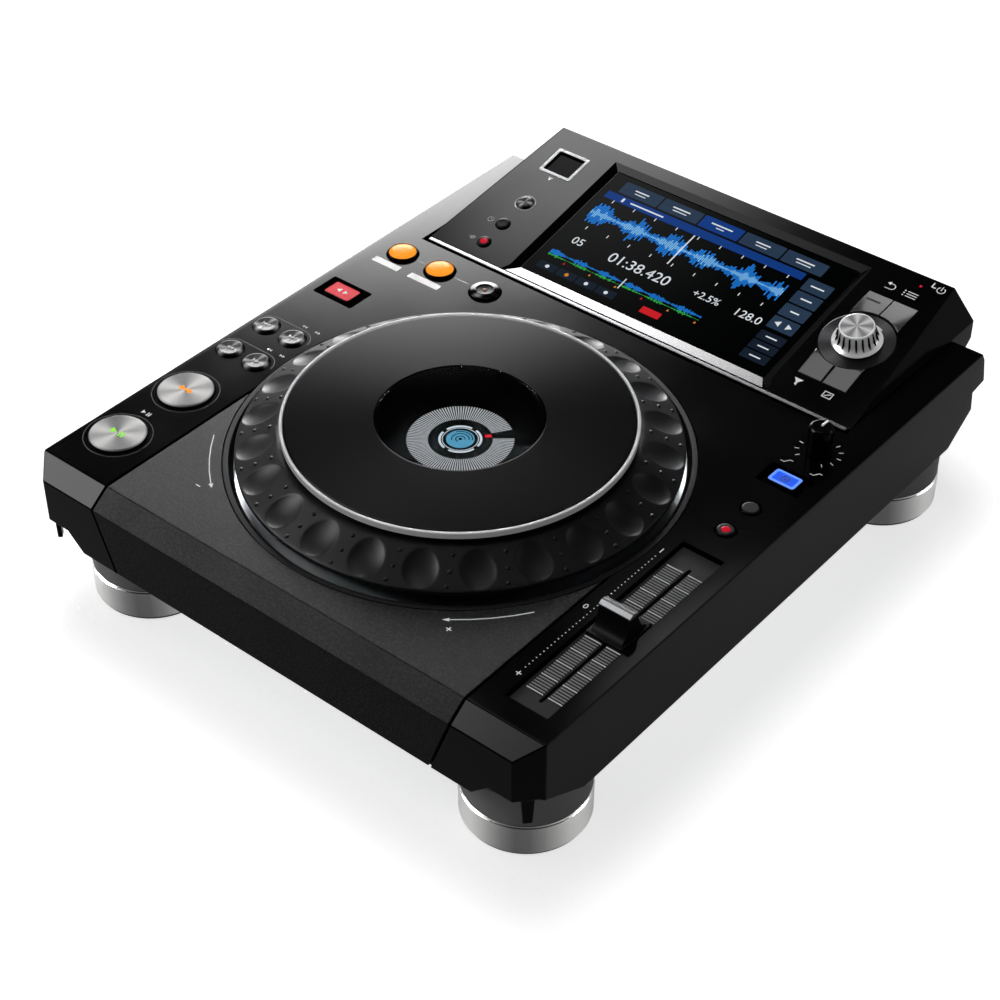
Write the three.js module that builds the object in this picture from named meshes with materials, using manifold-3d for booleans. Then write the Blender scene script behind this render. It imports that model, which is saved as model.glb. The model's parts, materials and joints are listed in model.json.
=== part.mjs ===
// Tabletop DJ multi player, built piece by piece at real size, in millimetres with +Z up.
// Drawing frame of the player: X to the right, Y to the back from the deck's front edge,
// Z up from the deck's top face. The outer group moves it so that it stands on Z = 0.

import * as THREE from 'three';
import Module from 'manifold-3d';
import { mergeVertices } from 'three/addons/utils/BufferGeometryUtils.js';
import { ConvexGeometry } from 'three/addons/geometries/ConvexGeometry.js';

const wasm = await Module();
wasm.setup();

// Fits and cutting shapes
const gap = 0.3; // between pieces that touch
const overcut = 4; // how far a cutting shape passes the faces that it cuts

// Facets on round pieces
const platterFacets = 72;
const jogFacets = 48;
const knobFacets = 24;
const footFacets = 24;
const buttonFacets = 16;
const pinFacets = 10;

// Jog wheel, with its heights over the deck
const platter = {
  webThickness: 3, rimRadius: 107, rimTop: 5, rimFoot: 2.8, flangeRun: 21, neckTop: 14, neckInset: 3,
  flangeWall: 1.6, drumWall: 3, drumTop: 16.7, bossWall: 3.2,
};
const dimple = { inset: 10, radialHalf: 9.4, sideHalf: 7.8, depth: 1.6, ballHalf: 3.6 };
const dimpleCount = 24;
const dimpleFacets = 8;
const dimpleRings = 6;
const topPlate = {
  thickness: 3, overhang: 0.2, windowRadius: 40.6, ledge: 1.4, skirtWall: 3, skirtDrop: 11,
};
const jogRing = { wall: 1.6, height: 3.1 };
const jogLens = { thickness: 2 };
const jogDisplay = { inset: 2.6, foot: 2, thickness: 4 };
const bezel = { play: 0.8, slope: 2.2, land: 3, slopeDrop: 3, depth: 8.7, lip: 2.8 };
const bearing = { innerRadius: 10, outerRadius: 16, height: 7.5 };
const jogBase = { thickness: 2.5, hubRun: 8, seatRise: 2.7, postTop: 1.7 };

// Screen glass and the margins round it on the housing's sloping plate
const glass = {
  width: 155, length: 87, thickness: 1.5, frontMargin: 8.9, backMargin: 13.3, sideMargin: 57.3,
};

// Case: a shell open below, seen from the side as one outline
const body = {
  height: 47, wall: 2, frontWall: 4.3, deckThickness: 4.5, jogMargin: 13, controlStrip: 40, sideStrip: 18.2,
  rowBehindJog: 13.7,
};
const nose = { reach: 10.6, drop: 7.9, chamfer: 9.4, faceFoot: 41, sweep: 12.6 };
const rear = {
  lip: 6.3, lipDrop: 19.9, lipUnder: 21.7, underInset: 4.5, shoulder: 2.9, shoulderDrop: 4.8,
  wallInset: 3, chamferRun: 19.9, chamferRise: 14, blockInset: 23, blockDepth: 26, blockTop: 26,
  windowInset: 5, windowTop: 23, windowFoot: 3, connectorRise: 13,
};
const undercut = { topInset: 22.4, topDrop: 32, footInset: 32, footDrop: 41, sideDrop: 33, sideRun: 27 };
const cornerTab = { width: 6.4, footWidth: 4.4, thickness: 2.4, inset: 1.6, drop: 47.6, root: 31 };
const groove = { width: 2.9, depth: 6.3, floor: 2.7, root: 5 };
const ledge = { reach: 4.6, thickness: 3.2, stop: 5.5 };

// Textured sheet bent over the nose, in a pocket of the case
const sheet = { inset: 44, taper: 12, thickness: 2, seam: 1.4, footGap: 0.4 };

// Bottom and rear plates, and what stands on them
const floorPlate = { thickness: 1.7 };
const rearPlate = { thickness: 2, rise: 24.5 };
const board = { thickness: 1.6, standoff: 5, postRadius: 3, apart: 10 };
const mainBoard = { sideMargin: 11, front: 24, backMargin: 24.5, chip: 30, chipHeight: 4, sinkHeight: 14 };
const supply = {
  sideMargin: 13, width: 68, backMargin: 28.5, length: 128, core: 44, coreFront: 42, coreHeight: 17,
  canRadius: 7, canHeight: 13, canFront: 96, canPitch: 21,
};

// Display housing: a convex hull whose sloping top plate carries the screen
const housing = {
  frontDrop: 1, backRise: 22.3, frontInset: 0.4, backInset: 8.8, deckReach: 12.4,
  rearReach: 9.7, rearRise: 0.7, rearDrop: 10, lipInset: 7.6, foot: 16.5,
  plate: 4, wall: 3, floor: 2.5, floorReach: 4.5,
};
const frontBar = { inset: 2.1, thickness: 2.3, drop: 0.3 };
const recess = { side: 5, frontRun: 7.9, backRun: 4.1, depth: 2.5, slope: 4.5, trimRun: 7.4, trimTaper: 5 };
const panel = { rim: 4, thickness: 6.5, backing: 3, backingInset: 12 };
const trim = { lip: 0.2, back: 0.35 };

// Slot for a memory stick, under a sprung lid
const usb = {
  besideGlass: 28.4, backMargin: 17.6, length: 16.1, width: 17.4, wall: 2, wellDepth: 18, blockDepth: 28,
  lidDrop: 1.2, lidThickness: 1.2, slotWidth: 12.5, slotThick: 5.1, slotDepth: 8,
  tongueWidth: 11, tongueThick: 1.8,
};

// Small round buttons of the housing, with their rows counted from the plate's front edge
const plateRows = { besideGlass: 27.9, quantize: 11.9, timeMode: 28.3, stickStop: 47.9 };
const plateCaps = { quantize: 3.75, timeMode: 3.95, stickStop: 4.45 };
const plateButton = { play: 0.4, rise: 1.2, flange: 1.2, flangeThickness: 1 };

// Four keys round the browse knob, in one opening of the housing
const keyBlock = {
  besideGlass: 27.45, width: 28.1, front: 19.3, length: 66.1, slit: 0.8, rise: 1.6, flange: 1.5, foot: 1,
};
const browse = {
  front: 32.2, skirtRadius: 19.5, skirtLift: 0.1, skirtThickness: 0.5, skirtSlope: 0.4, barrelWall: 2.7,
  barrelDrop: 14, shaftRadius: 3, shaftTop: 9, shaftCollar: 5, collarThickness: 1.2,
  footLift: 0.8, footRadius: 13, footEdge: 0.8, waistRadius: 9.6, waist: 4,
  topRadius: 9.1, top: 11.5, edge: 0.5,
};

// Round caps of the deck: radius, play round it and height over the deck
const padCap = { radius: 14.4, play: 0.5, rise: 1.6 };
const skipCap = { radius: 7, play: 0.5, rise: 1.5 };
const loopCap = { radius: 8.4, play: 0.6, rise: 2.5 };
const tempoCap = { radius: 4.5, play: 1, rise: 0.9 };
const deckButton = { flange: 0.7, flangeThickness: 1.5, crown: 0.5, crownRise: 0.4 };

// Their places: from the case's sides, from the deck's front edge, from the jog wheel's middle,
// from the back end of the slider's recess, or from the gap in front of the housing
const rows = {
  padInset: 19, play: 30, cue: 75, skipInset: 10.5, skipPitch: 18.2, searchBefore: 11.7, trackBehind: 14.5,
  loopInset: 19.9, loopPitch: 26.1, reloopPitch: 31.1, loopBefore: 17.6,
  tempoInset: 21.5, masterBehind: 18.1, rangeBehind: 38.1,
};

// Wide caps, each in a rectangular recess of the deck that its flange closes from below
const directionKey = { inset: 19.65, behindJog: 61.8, recessX: 26.7, recessY: 17.4, capX: 17, capY: 11.1 };
const jogModeKey = { inset: 21, behindSlider: 65.85, recessX: 24.3, recessY: 15.5, capX: 15, capY: 10 };
const deckKey = { flange: 1.6, rise: 0.5 };

// Tempo knob on its shaft, tempo slider, and the board with the fader and the knob's pot
const speed = {
  inset: 20.5, beforeHousing: 19.7, radius: 6.3, neck: 6, edge: 5.2, edgeDrop: 1, top: 15.5, foot: 0.8,
  shaftRadius: 3, shaftDrop: 12, pointer: 1.2, pointerRise: 0.5,
};
const slider = {
  inset: 20.65, front: 12.2, length: 127.2, width: 22.9, drop: 2.9, flange: 1.8, foot: 6.3,
  slotOffset: 0.95, slotWidth: 1.8, slotFront: 7.8, slotLength: 108, restBehindMiddle: 1.2,
};
const cap = {
  width: 17.1, skirtWidth: 20, ridge: 12.2, skirtFront: 10.2, skirtBack: 12, lift: 0.6, skirtRise: 1.6,
  waistFront: 6.4, waistBack: 7.4, waistRise: 4, neck: 3.2, neckRise: 9.2,
  crown: 2.7, crownFront: 11, crownBack: 11,
  stem: 1.2, stemLength: 8, stemDrop: 9.5,
};
const fader = {
  frontMargin: 4.2, boardHalf: 11, boardTop: 15.4, bodyHalf: 7, grooveFloor: 3,
  potHalf: 8, shaftPlay: 0.4, potFloor: 1,
};

// Feet: a turned foot with a metal band round its waist
const foot = {
  inset: 34.1, front: 29.7, rearInset: 31.9, rearMargin: 33.2, radius: 29.8, waistInset: 4.8, padInset: 0.6,
  bandReach: 0.5, bodyHeight: 18, bandHeight: 16.5, padHeight: 1.6,
};

// Connectors of the rear plate
const power = { inset: 69, size: 9, rise: 4, flange: 1.5, flangeThickness: 2, play: 0.4 };
const inlet = {
  inset: 45, width: 24, height: 17, depth: 18, holeWidth: 16, holeHeight: 8, holeDepth: 10,
  pinRadius: 1.2, pinSpread: 4.4, pinLength: 7, nose: 1,
};
const jacks = { x: -60, radius: 4.15, bore: 1.6, spread: 16, length: 9, block: 14, blockDepth: 12 };
const jackCount = 3;
const ports = {
  x: 20, width: 40, height: 16, depth: 18, netWidth: 11.7, netHeight: 8, netDepth: 12,
  netX: -10, plugWidth: 8.5, plugX: 10, plugHeight: 7.8, plugDepth: 9,
  tongueWidth: 5.6, tongueHeight: 3.2, nose: 1,
};

// Sizes that follow from these

const throatRadius = platter.rimRadius + bezel.play;
const slopeRadius = throatRadius + bezel.slope;
const bezelRadius = slopeRadius + bezel.land;
const bezelLipRadius = bezelRadius + bezel.lip;
const neckRadius = platter.rimRadius - platter.flangeRun;
const drumRadius = neckRadius - platter.neckInset;
const housingHalf = glass.width / 2 + glass.sideMargin;
const halfWidth = Math.max(bezelRadius + body.controlStrip, housingHalf + body.sideStrip);
const jogY = body.jogMargin + bezelRadius;
const grooveY = jogY + bezelRadius + body.rowBehindJog;
const housingY = grooveY + groove.width + frontBar.thickness + gap;
const glassBack = glass.frontMargin + glass.length;
const plateLength = glassBack + glass.backMargin;
const plateRise = housing.backRise + housing.frontDrop;
const plateTilt = Math.asin(plateRise / plateLength);
const housingBackY = housingY + plateLength * Math.cos(plateTilt);
const housingRearY = housingBackY + housing.rearReach;
const deckBackY = housingBackY - housing.deckReach;
const rearWallY = deckBackY - rear.wallInset;
const rearBlockHalf = halfWidth - rear.blockInset;
const noseHalf = halfWidth - nose.chamfer;
const sheetHalf = halfWidth - sheet.inset;
const sheetFootHalf = sheetHalf - sheet.taper;
const sliderX = halfWidth - slider.inset;
const sliderBack = slider.front + slider.length;
const slotX = sliderX + slider.slotOffset;
const connectorZ = rear.connectorRise - body.height;
const slotFront = slider.front + slider.slotFront;
const slotBack = slotFront + slider.slotLength;
const capY = (slotFront + slotBack) / 2 + slider.restBehindMiddle;
const speedX = halfWidth - speed.inset;
const speedY = grooveY - speed.beforeHousing;
const usbX = -glass.width / 2 - usb.besideGlass;
const usbBack = plateLength - usb.backMargin;
const usbFront = usbBack - usb.length;
const keyX = glass.width / 2 + keyBlock.besideGlass;
const keyBack = keyBlock.front + keyBlock.length;
const browseS = keyBlock.front + browse.front;
const supplyX = halfWidth - supply.sideMargin - supply.width;
const mainBoardX = mainBoard.sideMargin - halfWidth;

const loopX = rows.loopInset - halfWidth;
const loopY = grooveY - rows.loopBefore;
const padX = rows.padInset - halfWidth;
const skipX = rows.skipInset - halfWidth;
const tempoX = halfWidth - rows.tempoInset;
const deckButtons = [
  { name: 'loop_in_button', x: loopX, y: loopY, ...loopCap },
  { name: 'loop_out_button', x: loopX + rows.loopPitch, y: loopY, ...loopCap },
  { name: 'reloop_button', x: loopX + rows.loopPitch + rows.reloopPitch, y: loopY, ...loopCap },
  { name: 'track_back_button', x: skipX, y: jogY + rows.trackBehind, ...skipCap },
  { name: 'track_forward_button', x: skipX + rows.skipPitch, y: jogY + rows.trackBehind, ...skipCap },
  { name: 'search_back_button', x: skipX, y: jogY - rows.searchBefore, ...skipCap },
  { name: 'search_forward_button', x: skipX + rows.skipPitch, y: jogY - rows.searchBefore, ...skipCap },
  { name: 'cue_button', x: padX, y: rows.cue, ...padCap },
  { name: 'play_button', x: padX, y: rows.play, ...padCap },
  { name: 'tempo_range_button', x: tempoX, y: sliderBack + rows.rangeBehind, ...tempoCap },
  { name: 'master_tempo_button', x: tempoX, y: sliderBack + rows.masterBehind, ...tempoCap },
];
const directionX = directionKey.inset - halfWidth;
const directionY = jogY + directionKey.behindJog;
const jogModeX = halfWidth - jogModeKey.inset;
const jogModeY = sliderBack + jogModeKey.behindSlider;
const deckKeys = [
  { name: 'direction_button', x: directionX, y: directionY, ...directionKey },
  { name: 'jog_mode_button', x: jogModeX, y: jogModeY, ...jogModeKey },
];
const plateButtonX = -glass.width / 2 - plateRows.besideGlass;
const plateButtons = [
  { name: 'usb_stop_button', x: plateButtonX, s: plateRows.stickStop, radius: plateCaps.stickStop },
  { name: 'time_mode_button', x: plateButtonX, s: plateRows.timeMode, radius: plateCaps.timeMode },
  { name: 'quantize_button', x: plateButtonX, s: plateRows.quantize, radius: plateCaps.quantize },
];

// Finishes, read as colour, roughness and metalness
function finish(color, roughness, metalness = 0) {
  return new THREE.MeshStandardMaterial({ color, roughness, metalness });
}

const glossBlack = finish(0x0d0d0e, 0.16);
const texturedBlack = finish(0x2f2f2f, 0.7);
const satinBlack = finish(0x1a1a1b, 0.4);
const mattePlastic = finish(0x3a3a3b, 0.6);
const zincSteel = finish(0x9a9da0, 0.45, 0.9);
const aluminium = finish(0xc4c4c2, 0.28, 1);
const chrome = finish(0xd8d8da, 0.12, 1);
const clearGlass = finish(0x101418, 0.05);
const boardGreen = finish(0x1f4a32, 0.55);
const rubberBlack = finish(0x161616, 0.85);
const amberPlastic = finish(0xf29a2e, 0.35);
const redPlastic = finish(0xc8202a, 0.35);
const bluePlastic = finish(0x3f7fd0, 0.35);
const greyPlastic = finish(0x6a6a6b, 0.4);

// Solids: closed three.js shapes turned into solids that can be joined and cut

function toSolid(geometry) {
  const bare = geometry.clone();
  bare.deleteAttribute('normal');
  bare.deleteAttribute('uv');
  const merged = mergeVertices(bare);
  return new wasm.Manifold(new wasm.Mesh({
    numProp: 3,
    vertProperties: new Float32Array(merged.attributes.position.array),
    triVerts: new Uint32Array(merged.index.array),
  }));
}

function toGeometry(solid) {
  const mesh = solid.getMesh();
  const geometry = new THREE.BufferGeometry();
  geometry.setAttribute('position', new THREE.BufferAttribute(new Float32Array(mesh.vertProperties), 3));
  geometry.setIndex(new THREE.BufferAttribute(new Uint32Array(mesh.triVerts), 1));
  geometry.computeVertexNormals();
  return geometry;
}

function signedArea(points) {
  return THREE.ShapeUtils.area(points.map(([a, b]) => new THREE.Vector2(a, b)));
}

// Box between two corners
function block(low, high) {
  const size = high.map((value, i) => value - low[i]);
  const geometry = new THREE.BoxGeometry(...size);
  geometry.translate(...low.map((value, i) => value + size[i] / 2));
  return toSolid(geometry);
}

// Upright cylinder on the axis at x, y
function rod(radius, low, high, facets, x = 0, y = 0) {
  const geometry = new THREE.CylinderGeometry(radius, radius, high - low, facets);
  geometry.rotateX(Math.PI / 2);
  geometry.translate(x, y, (low + high) / 2);
  return toSolid(geometry);
}

// Solid turned about Z from a closed outline of radius and height
function turned(outline, facets) {
  const ordered = signedArea(outline) > 0 ? outline : [...outline].reverse();
  const previous = (i) => ordered[(i + ordered.length - 1) % ordered.length];
  const onAxis = ordered.findIndex(([r], i) => r === 0 && previous(i)[0] === 0);
  const start = Math.max(onAxis, 0);
  const path = [...ordered.slice(start), ...ordered.slice(0, start)];
  if (onAxis < 0) path.push(path[0]);
  const geometry = new THREE.LatheGeometry(path.map(([r, h]) => new THREE.Vector2(r, h)), facets);
  geometry.rotateX(Math.PI / 2);
  return toSolid(geometry);
}

// Outline extruded along one axis: 'x' takes points (y, z), 'y' takes (x, z) and 'z' takes (x, y)
function prism(outline, axis, low, high) {
  const shape = new THREE.Shape(outline.map(([a, b]) => new THREE.Vector2(a, b)));
  const geometry = new THREE.ExtrudeGeometry(shape, { depth: high - low, bevelEnabled: false });
  const across = new THREE.Vector3(1, 0, 0);
  const along = new THREE.Vector3(0, 1, 0);
  const up = new THREE.Vector3(0, 0, 1);
  const frames = {
    x: new THREE.Matrix4().makeBasis(along, up, across).setPosition(low, 0, 0),
    y: new THREE.Matrix4().makeBasis(across, up, along.clone().negate()).setPosition(0, high, 0),
    z: new THREE.Matrix4().setPosition(0, 0, low),
  };
  geometry.applyMatrix4(frames[axis]);
  return toSolid(geometry);
}

function moved(solid, x, y, z) {
  return solid.translate([x, y, z]);
}

function mirrored(outline) {
  return outline.map(([x, other]) => [-x, other]).reverse();
}

function joined(first, ...others) {
  return others.reduce((sum, solid) => sum.add(solid), first);
}

function cut(first, ...tools) {
  return tools.reduce((rest, tool) => rest.subtract(tool), first);
}

// Where the lines through two offset edges meet
function meet([a, b], [c, d]) {
  const run = [b[0] - a[0], b[1] - a[1]];
  const other = [d[0] - c[0], d[1] - c[1]];
  const turn = run[0] * other[1] - run[1] * other[0];
  const share = ((c[0] - a[0]) * other[1] - (c[1] - a[1]) * other[0]) / turn;
  return [a[0] + run[0] * share, a[1] + run[1] * share];
}

function shiftEdge(a, b, distance) {
  const length = Math.hypot(b[0] - a[0], b[1] - a[1]);
  const normal = [-(b[1] - a[1]) / length, (b[0] - a[0]) / length];
  return [a, b].map(([p, q]) => [p + normal[0] * distance, q + normal[1] * distance]);
}

// Closed outline with each edge moved inwards by its own distance
function insetOutline(points, distances) {
  const side = Math.sign(signedArea(points));
  const following = (i) => points[(i + 1) % points.length];
  const edges = points.map((point, i) => shiftEdge(point, following(i), side * distances[i]));
  return edges.map((edge, i) => meet(edges[(i + edges.length - 1) % edges.length], edge));
}

// Open path moved to its left by one distance
function insetPath(points, distance) {
  const edges = points.slice(1).map((point, i) => shiftEdge(points[i], point, distance));
  const inner = edges.slice(1).map((edge, i) => meet(edges[i], edge));
  return [edges[0][0], ...inner, edges[edges.length - 1][1]];
}

// Scene graph: the player, and the sloping plate of its housing

const standHeight = body.height + foot.bodyHeight + foot.bandHeight + foot.padHeight + 3 * gap;
const middleY = (housingRearY - nose.reach) / 2;

const player = new THREE.Group();
player.position.set(0, -middleY, standHeight);
const plateGroup = new THREE.Group();
plateGroup.position.set(0, housingY, -housing.frontDrop);
plateGroup.rotation.x = plateTilt;
player.add(plateGroup);

function addPiece(parent, name, solid, material, x = 0, y = 0, z = 0) {
  const mesh = new THREE.Mesh(toGeometry(solid), material);
  mesh.name = name;
  mesh.position.set(x, y, z);
  parent.add(mesh);
}

// Shape drawn on the sloping plate, brought into the player's frame
function onPlate(solid) {
  return moved(solid.rotate([THREE.MathUtils.radToDeg(plateTilt), 0, 0]), 0, housingY, -housing.frontDrop);
}

// Case outlines

const sideOutline = [
  [0, 0],
  [-nose.reach, -nose.drop],
  [-nose.reach, -nose.faceFoot],
  [nose.sweep - nose.reach, -body.height],
  [rearWallY - rear.chamferRun, -body.height],
  [rearWallY, rear.chamferRise - body.height],
  [deckBackY - rear.underInset, -rear.lipUnder],
  [deckBackY + rear.lip, -rear.lipDrop],
  [deckBackY + rear.shoulder, -rear.shoulderDrop],
  [deckBackY, 0],
];
const sideInsets = [
  body.frontWall, body.frontWall, body.wall, -overcut, body.wall, body.wall, body.wall, body.wall, body.wall,
  body.deckThickness,
];
const planBack = deckBackY + rear.lip + overcut;
const planOutline = [
  [-noseHalf, -nose.reach],
  [noseHalf, -nose.reach],
  [halfWidth, 0],
  [halfWidth, planBack],
  [-halfWidth, planBack],
  [-halfWidth, 0],
];
const planInsets = [0, body.wall, body.wall, 0, body.wall, body.wall];

// Slopes of the space cut away under each front corner, seen from the front and from the side
const undercutSlope = (undercut.footInset - undercut.topInset) / (undercut.footDrop - undercut.topDrop);
const undercutFall = (body.height - undercut.sideDrop) / undercut.sideRun;

// That space, grown by the wall for the inside of the shell
function cornerUndercut(side, growth) {
  const low = body.height + overcut * 2;
  const topX = halfWidth - undercut.topInset - growth;
  const topZ = growth - undercut.topDrop;
  const frontView = [
    [topX, topZ],
    [halfWidth + overcut, topZ],
    [halfWidth + overcut, -low],
    [topX - undercutSlope * (low + topZ), -low],
  ];
  const lift = growth * Math.hypot(1, undercutFall);
  const frontY = -nose.reach - overcut;
  const sideView = [
    [frontY, lift - undercut.sideDrop - undercutFall * frontY],
    [(low + lift - undercut.sideDrop) / undercutFall, -low],
    [frontY, -low],
  ];
  const across = prism(side > 0 ? frontView : mirrored(frontView), 'y', frontY, deckBackY / 2);
  return across.intersect(prism(sideView, 'x', -halfWidth - overcut, halfWidth + overcut));
}

function caseShell(outline, plan, reach, growth) {
  const column = prism(plan, 'z', -body.height - 2 * overcut, overcut);
  const hull = prism(outline, 'x', -reach, reach).intersect(column);
  return cut(hull, cornerUndercut(1, growth), cornerUndercut(-1, growth));
}

function rearBlock(inset, foot) {
  const half = rearBlockHalf - inset;
  return block(
    [-half, rearWallY - rear.blockDepth, -foot],
    [half, rearWallY - inset, rear.blockTop - body.height],
  );
}

// Tab that hangs from the corner facet, tapering downwards
function cornerTabSolid(side) {
  const facetAngle = Math.atan2(nose.reach, nose.chamfer);
  const outline = [
    [-cornerTab.width / 2, -cornerTab.root],
    [cornerTab.width / 2, -cornerTab.root],
    [cornerTab.footWidth / 2, -cornerTab.drop],
    [-cornerTab.footWidth / 2, -cornerTab.drop],
  ];
  const tab = prism(outline, 'y', cornerTab.inset, cornerTab.inset + cornerTab.thickness);
  const turnedTab = tab.rotate([0, 0, side * THREE.MathUtils.radToDeg(facetAngle)]);
  return moved(turnedTab, side * (halfWidth + noseHalf) / 2, -nose.reach / 2, 0);
}

// Textured sheet and its pocket

function bentBand(outer, inner, footZ, halfTop, halfFoot) {
  const path = [
    [jogY, 0],
    [0, 0],
    [-nose.reach, -nose.drop],
    [-nose.reach, footZ],
  ];
  const profile = [...insetPath(path, -outer), ...insetPath(path, inner).reverse()];
  const frontView = [
    [-halfTop, overcut],
    [-halfTop, -nose.drop],
    [-halfFoot, -nose.faceFoot],
    [-halfFoot, -body.height - overcut],
    [halfFoot, -body.height - overcut],
    [halfFoot, -nose.faceFoot],
    [halfTop, -nose.drop],
    [halfTop, overcut],
  ];
  const strip = prism(profile, 'x', -halfTop, halfTop);
  return strip.intersect(prism(frontView, 'y', -nose.reach - 2 * overcut, jogY + overcut));
}

function frontSheet() {
  const strip = bentBand(0, sheet.thickness, sheet.footGap - nose.faceFoot, sheetHalf, sheetFootHalf);
  const opening = rod(bezelRadius + sheet.footGap, -overcut, overcut, jogFacets, 0, jogY);
  return cut(strip, opening);
}

function sheetPocket() {
  const depth = sheet.thickness + gap;
  const footZ = -nose.faceFoot - overcut;
  return bentBand(overcut / 2, depth, footZ, sheetHalf + sheet.seam, sheetFootHalf + sheet.seam);
}

// Upper case

function deckHole(button) {
  return rod(button.radius + button.play, -2 * overcut, overcut, buttonFacets, button.x, button.y);
}

function deckRecess(key) {
  return block(
    [key.x - key.recessX / 2, key.y - key.recessY / 2, -2 * overcut],
    [key.x + key.recessX / 2, key.y + key.recessY / 2, overcut],
  );
}

function sliderRecess() {
  return block(
    [sliderX - slider.width / 2, slider.front, -2 * overcut],
    [sliderX + slider.width / 2, sliderBack, overcut],
  );
}

const wellHalf = housingHalf + gap;
const wellFloor = -housing.foot - gap;

function housingOpening() {
  return block(
    [-wellHalf, grooveY, wellFloor],
    [wellHalf, planBack, overcut],
  );
}

// Ledge along each side wall that the housing's rim stands on
function housingLedge(side) {
  const inner = wellHalf - ledge.reach;
  const outer = halfWidth - body.wall / 2;
  return block(
    [Math.min(side * inner, side * outer), grooveY + groove.root, wellFloor - ledge.thickness],
    [Math.max(side * inner, side * outer), rearWallY - ledge.stop, wellFloor],
  );
}

// Shelf below the gap in front of the housing, with a root joined to the deck's underside
function grooveShelf() {
  const floorTop = -groove.depth;
  const shelf = block(
    [-wellHalf, grooveY - groove.root, floorTop - groove.floor],
    [wellHalf, housingY - gap, floorTop],
  );
  const root = block(
    [-wellHalf, grooveY - groove.root, floorTop - groove.floor],
    [wellHalf, grooveY, -body.deckThickness / 2],
  );
  return joined(shelf, root);
}

function upperCase() {
  const outer = joined(caseShell(sideOutline, planOutline, halfWidth, 0), rearBlock(0, body.height));
  const innerReach = halfWidth - body.wall;
  const innerSide = insetOutline(sideOutline, sideInsets);
  const innerPlan = insetOutline(planOutline, planInsets);
  const inner = joined(
    caseShell(innerSide, innerPlan, innerReach, body.wall),
    rearBlock(body.wall, body.height + overcut),
  );
  const windowHalf = rearBlockHalf - rear.windowInset;
  const rearWindow = block(
    [-windowHalf, rearWallY - overcut, rear.windowFoot - body.height],
    [windowHalf, rearWallY + overcut, rear.windowTop - body.height],
  );
  const shell = cut(
    outer,
    inner,
    sheetPocket(),
    rod(bezelRadius + gap, -2 * overcut, overcut, jogFacets, 0, jogY),
    housingOpening(),
    rearWindow,
    sliderRecess(),
    rod(speed.shaftRadius + gap, -2 * overcut, overcut, buttonFacets, speedX, speedY),
    ...deckButtons.map(deckHole),
    ...deckKeys.map(deckRecess),
  );
  const sidePieces = [-1, 1].flatMap((side) => [housingLedge(side), cornerTabSolid(side)]);
  return joined(shell, grooveShelf(), ...sidePieces);
}

addPiece(player, 'upper_case', upperCase(), glossBlack);
addPiece(player, 'front_panel', frontSheet(), texturedBlack);

// Bottom plate with the posts that carry the boards

const floorTop = floorPlate.thickness - body.height;
const boardFoot = floorTop + board.standoff;

const mainBoardPlace = {
  x: mainBoardX,
  y: jogY + mainBoard.front,
  width: supplyX - board.apart - mainBoardX,
  length: deckBackY - mainBoard.backMargin - jogY - mainBoard.front,
};
const supplyPlace = {
  x: supplyX,
  y: deckBackY - supply.backMargin - supply.length,
  width: supply.width,
  length: supply.length,
};

function boardPosts(place) {
  const inset = 2 * board.postRadius;
  const xs = [place.x + inset, place.x + place.width - inset];
  const ys = [place.y + inset, place.y + place.length - inset];
  return xs.flatMap((x) => ys.map((y) => (
    rod(board.postRadius, floorTop - floorPlate.thickness / 2, boardFoot - gap, pinFacets, x, y)
  )));
}

function bottomPlate() {
  const inset = body.wall + gap;
  const side = halfWidth - inset;
  const sweepAngle = Math.atan2(body.height - nose.faceFoot, nose.sweep);
  const front = nose.sweep - nose.reach + inset / Math.sin(sweepAngle);
  const fall = body.height + body.wall - undercut.topDrop;
  const cornerX = halfWidth - undercut.topInset - inset - undercutSlope * fall;
  const lift = inset * Math.hypot(1, undercutFall);
  const cornerY = (body.height + lift - undercut.sideDrop) / undercutFall;
  const rearX = rearBlockHalf - inset;
  const chamferAngle = Math.atan2(rear.chamferRise, rear.chamferRun);
  const rearY = rearWallY - rear.chamferRun - inset / Math.sin(chamferAngle);
  const right = [
    [cornerX, front],
    [cornerX, cornerY],
    [side, cornerY],
    [side, rearY],
    [rearX, rearY],
    [rearX, rearWallY - inset],
  ];
  const plate = prism([...right, ...mirrored(right)], 'z', -body.height, floorTop);
  return joined(plate, ...boardPosts(mainBoardPlace), ...boardPosts(supplyPlace));
}

addPiece(player, 'bottom_plate', bottomPlate(), zincSteel);

function boardSheet(place) {
  return block(
    [place.x, place.y, boardFoot],
    [place.x + place.width, place.y + place.length, boardFoot + board.thickness],
  );
}

function mainBoardSolid() {
  const top = boardFoot + board.thickness;
  const centreX = mainBoardPlace.x + mainBoardPlace.width / 2;
  const centreY = mainBoardPlace.y + mainBoardPlace.length / 2;
  const half = mainBoard.chip / 2;
  const heights = { '-1': mainBoard.chipHeight, 1: mainBoard.sinkHeight };
  const chips = Object.entries(heights).map(([side, height]) => block(
    [centreX + side * mainBoard.chip - half, centreY - half, top - board.thickness / 2],
    [centreX + side * mainBoard.chip + half, centreY + half, top + height],
  ));
  return joined(boardSheet(mainBoardPlace), ...chips);
}

addPiece(player, 'main_board', mainBoardSolid(), boardGreen);

function powerSupplySolid() {
  const top = boardFoot + board.thickness;
  const coreX = supplyPlace.x + supply.width / 2;
  const coreY = supplyPlace.y + supply.coreFront;
  const core = block(
    [coreX - supply.core / 2, coreY - supply.core / 2, top - board.thickness / 2],
    [coreX + supply.core / 2, coreY + supply.core / 2, top + supply.coreHeight],
  );
  const cans = [-1, 1].map((side) => rod(
    supply.canRadius, top - board.thickness / 2, top + supply.canHeight, pinFacets,
    coreX + side * supply.canPitch / 2, supplyPlace.y + supply.canFront,
  ));
  return joined(boardSheet(supplyPlace), core, ...cans);
}

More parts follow.
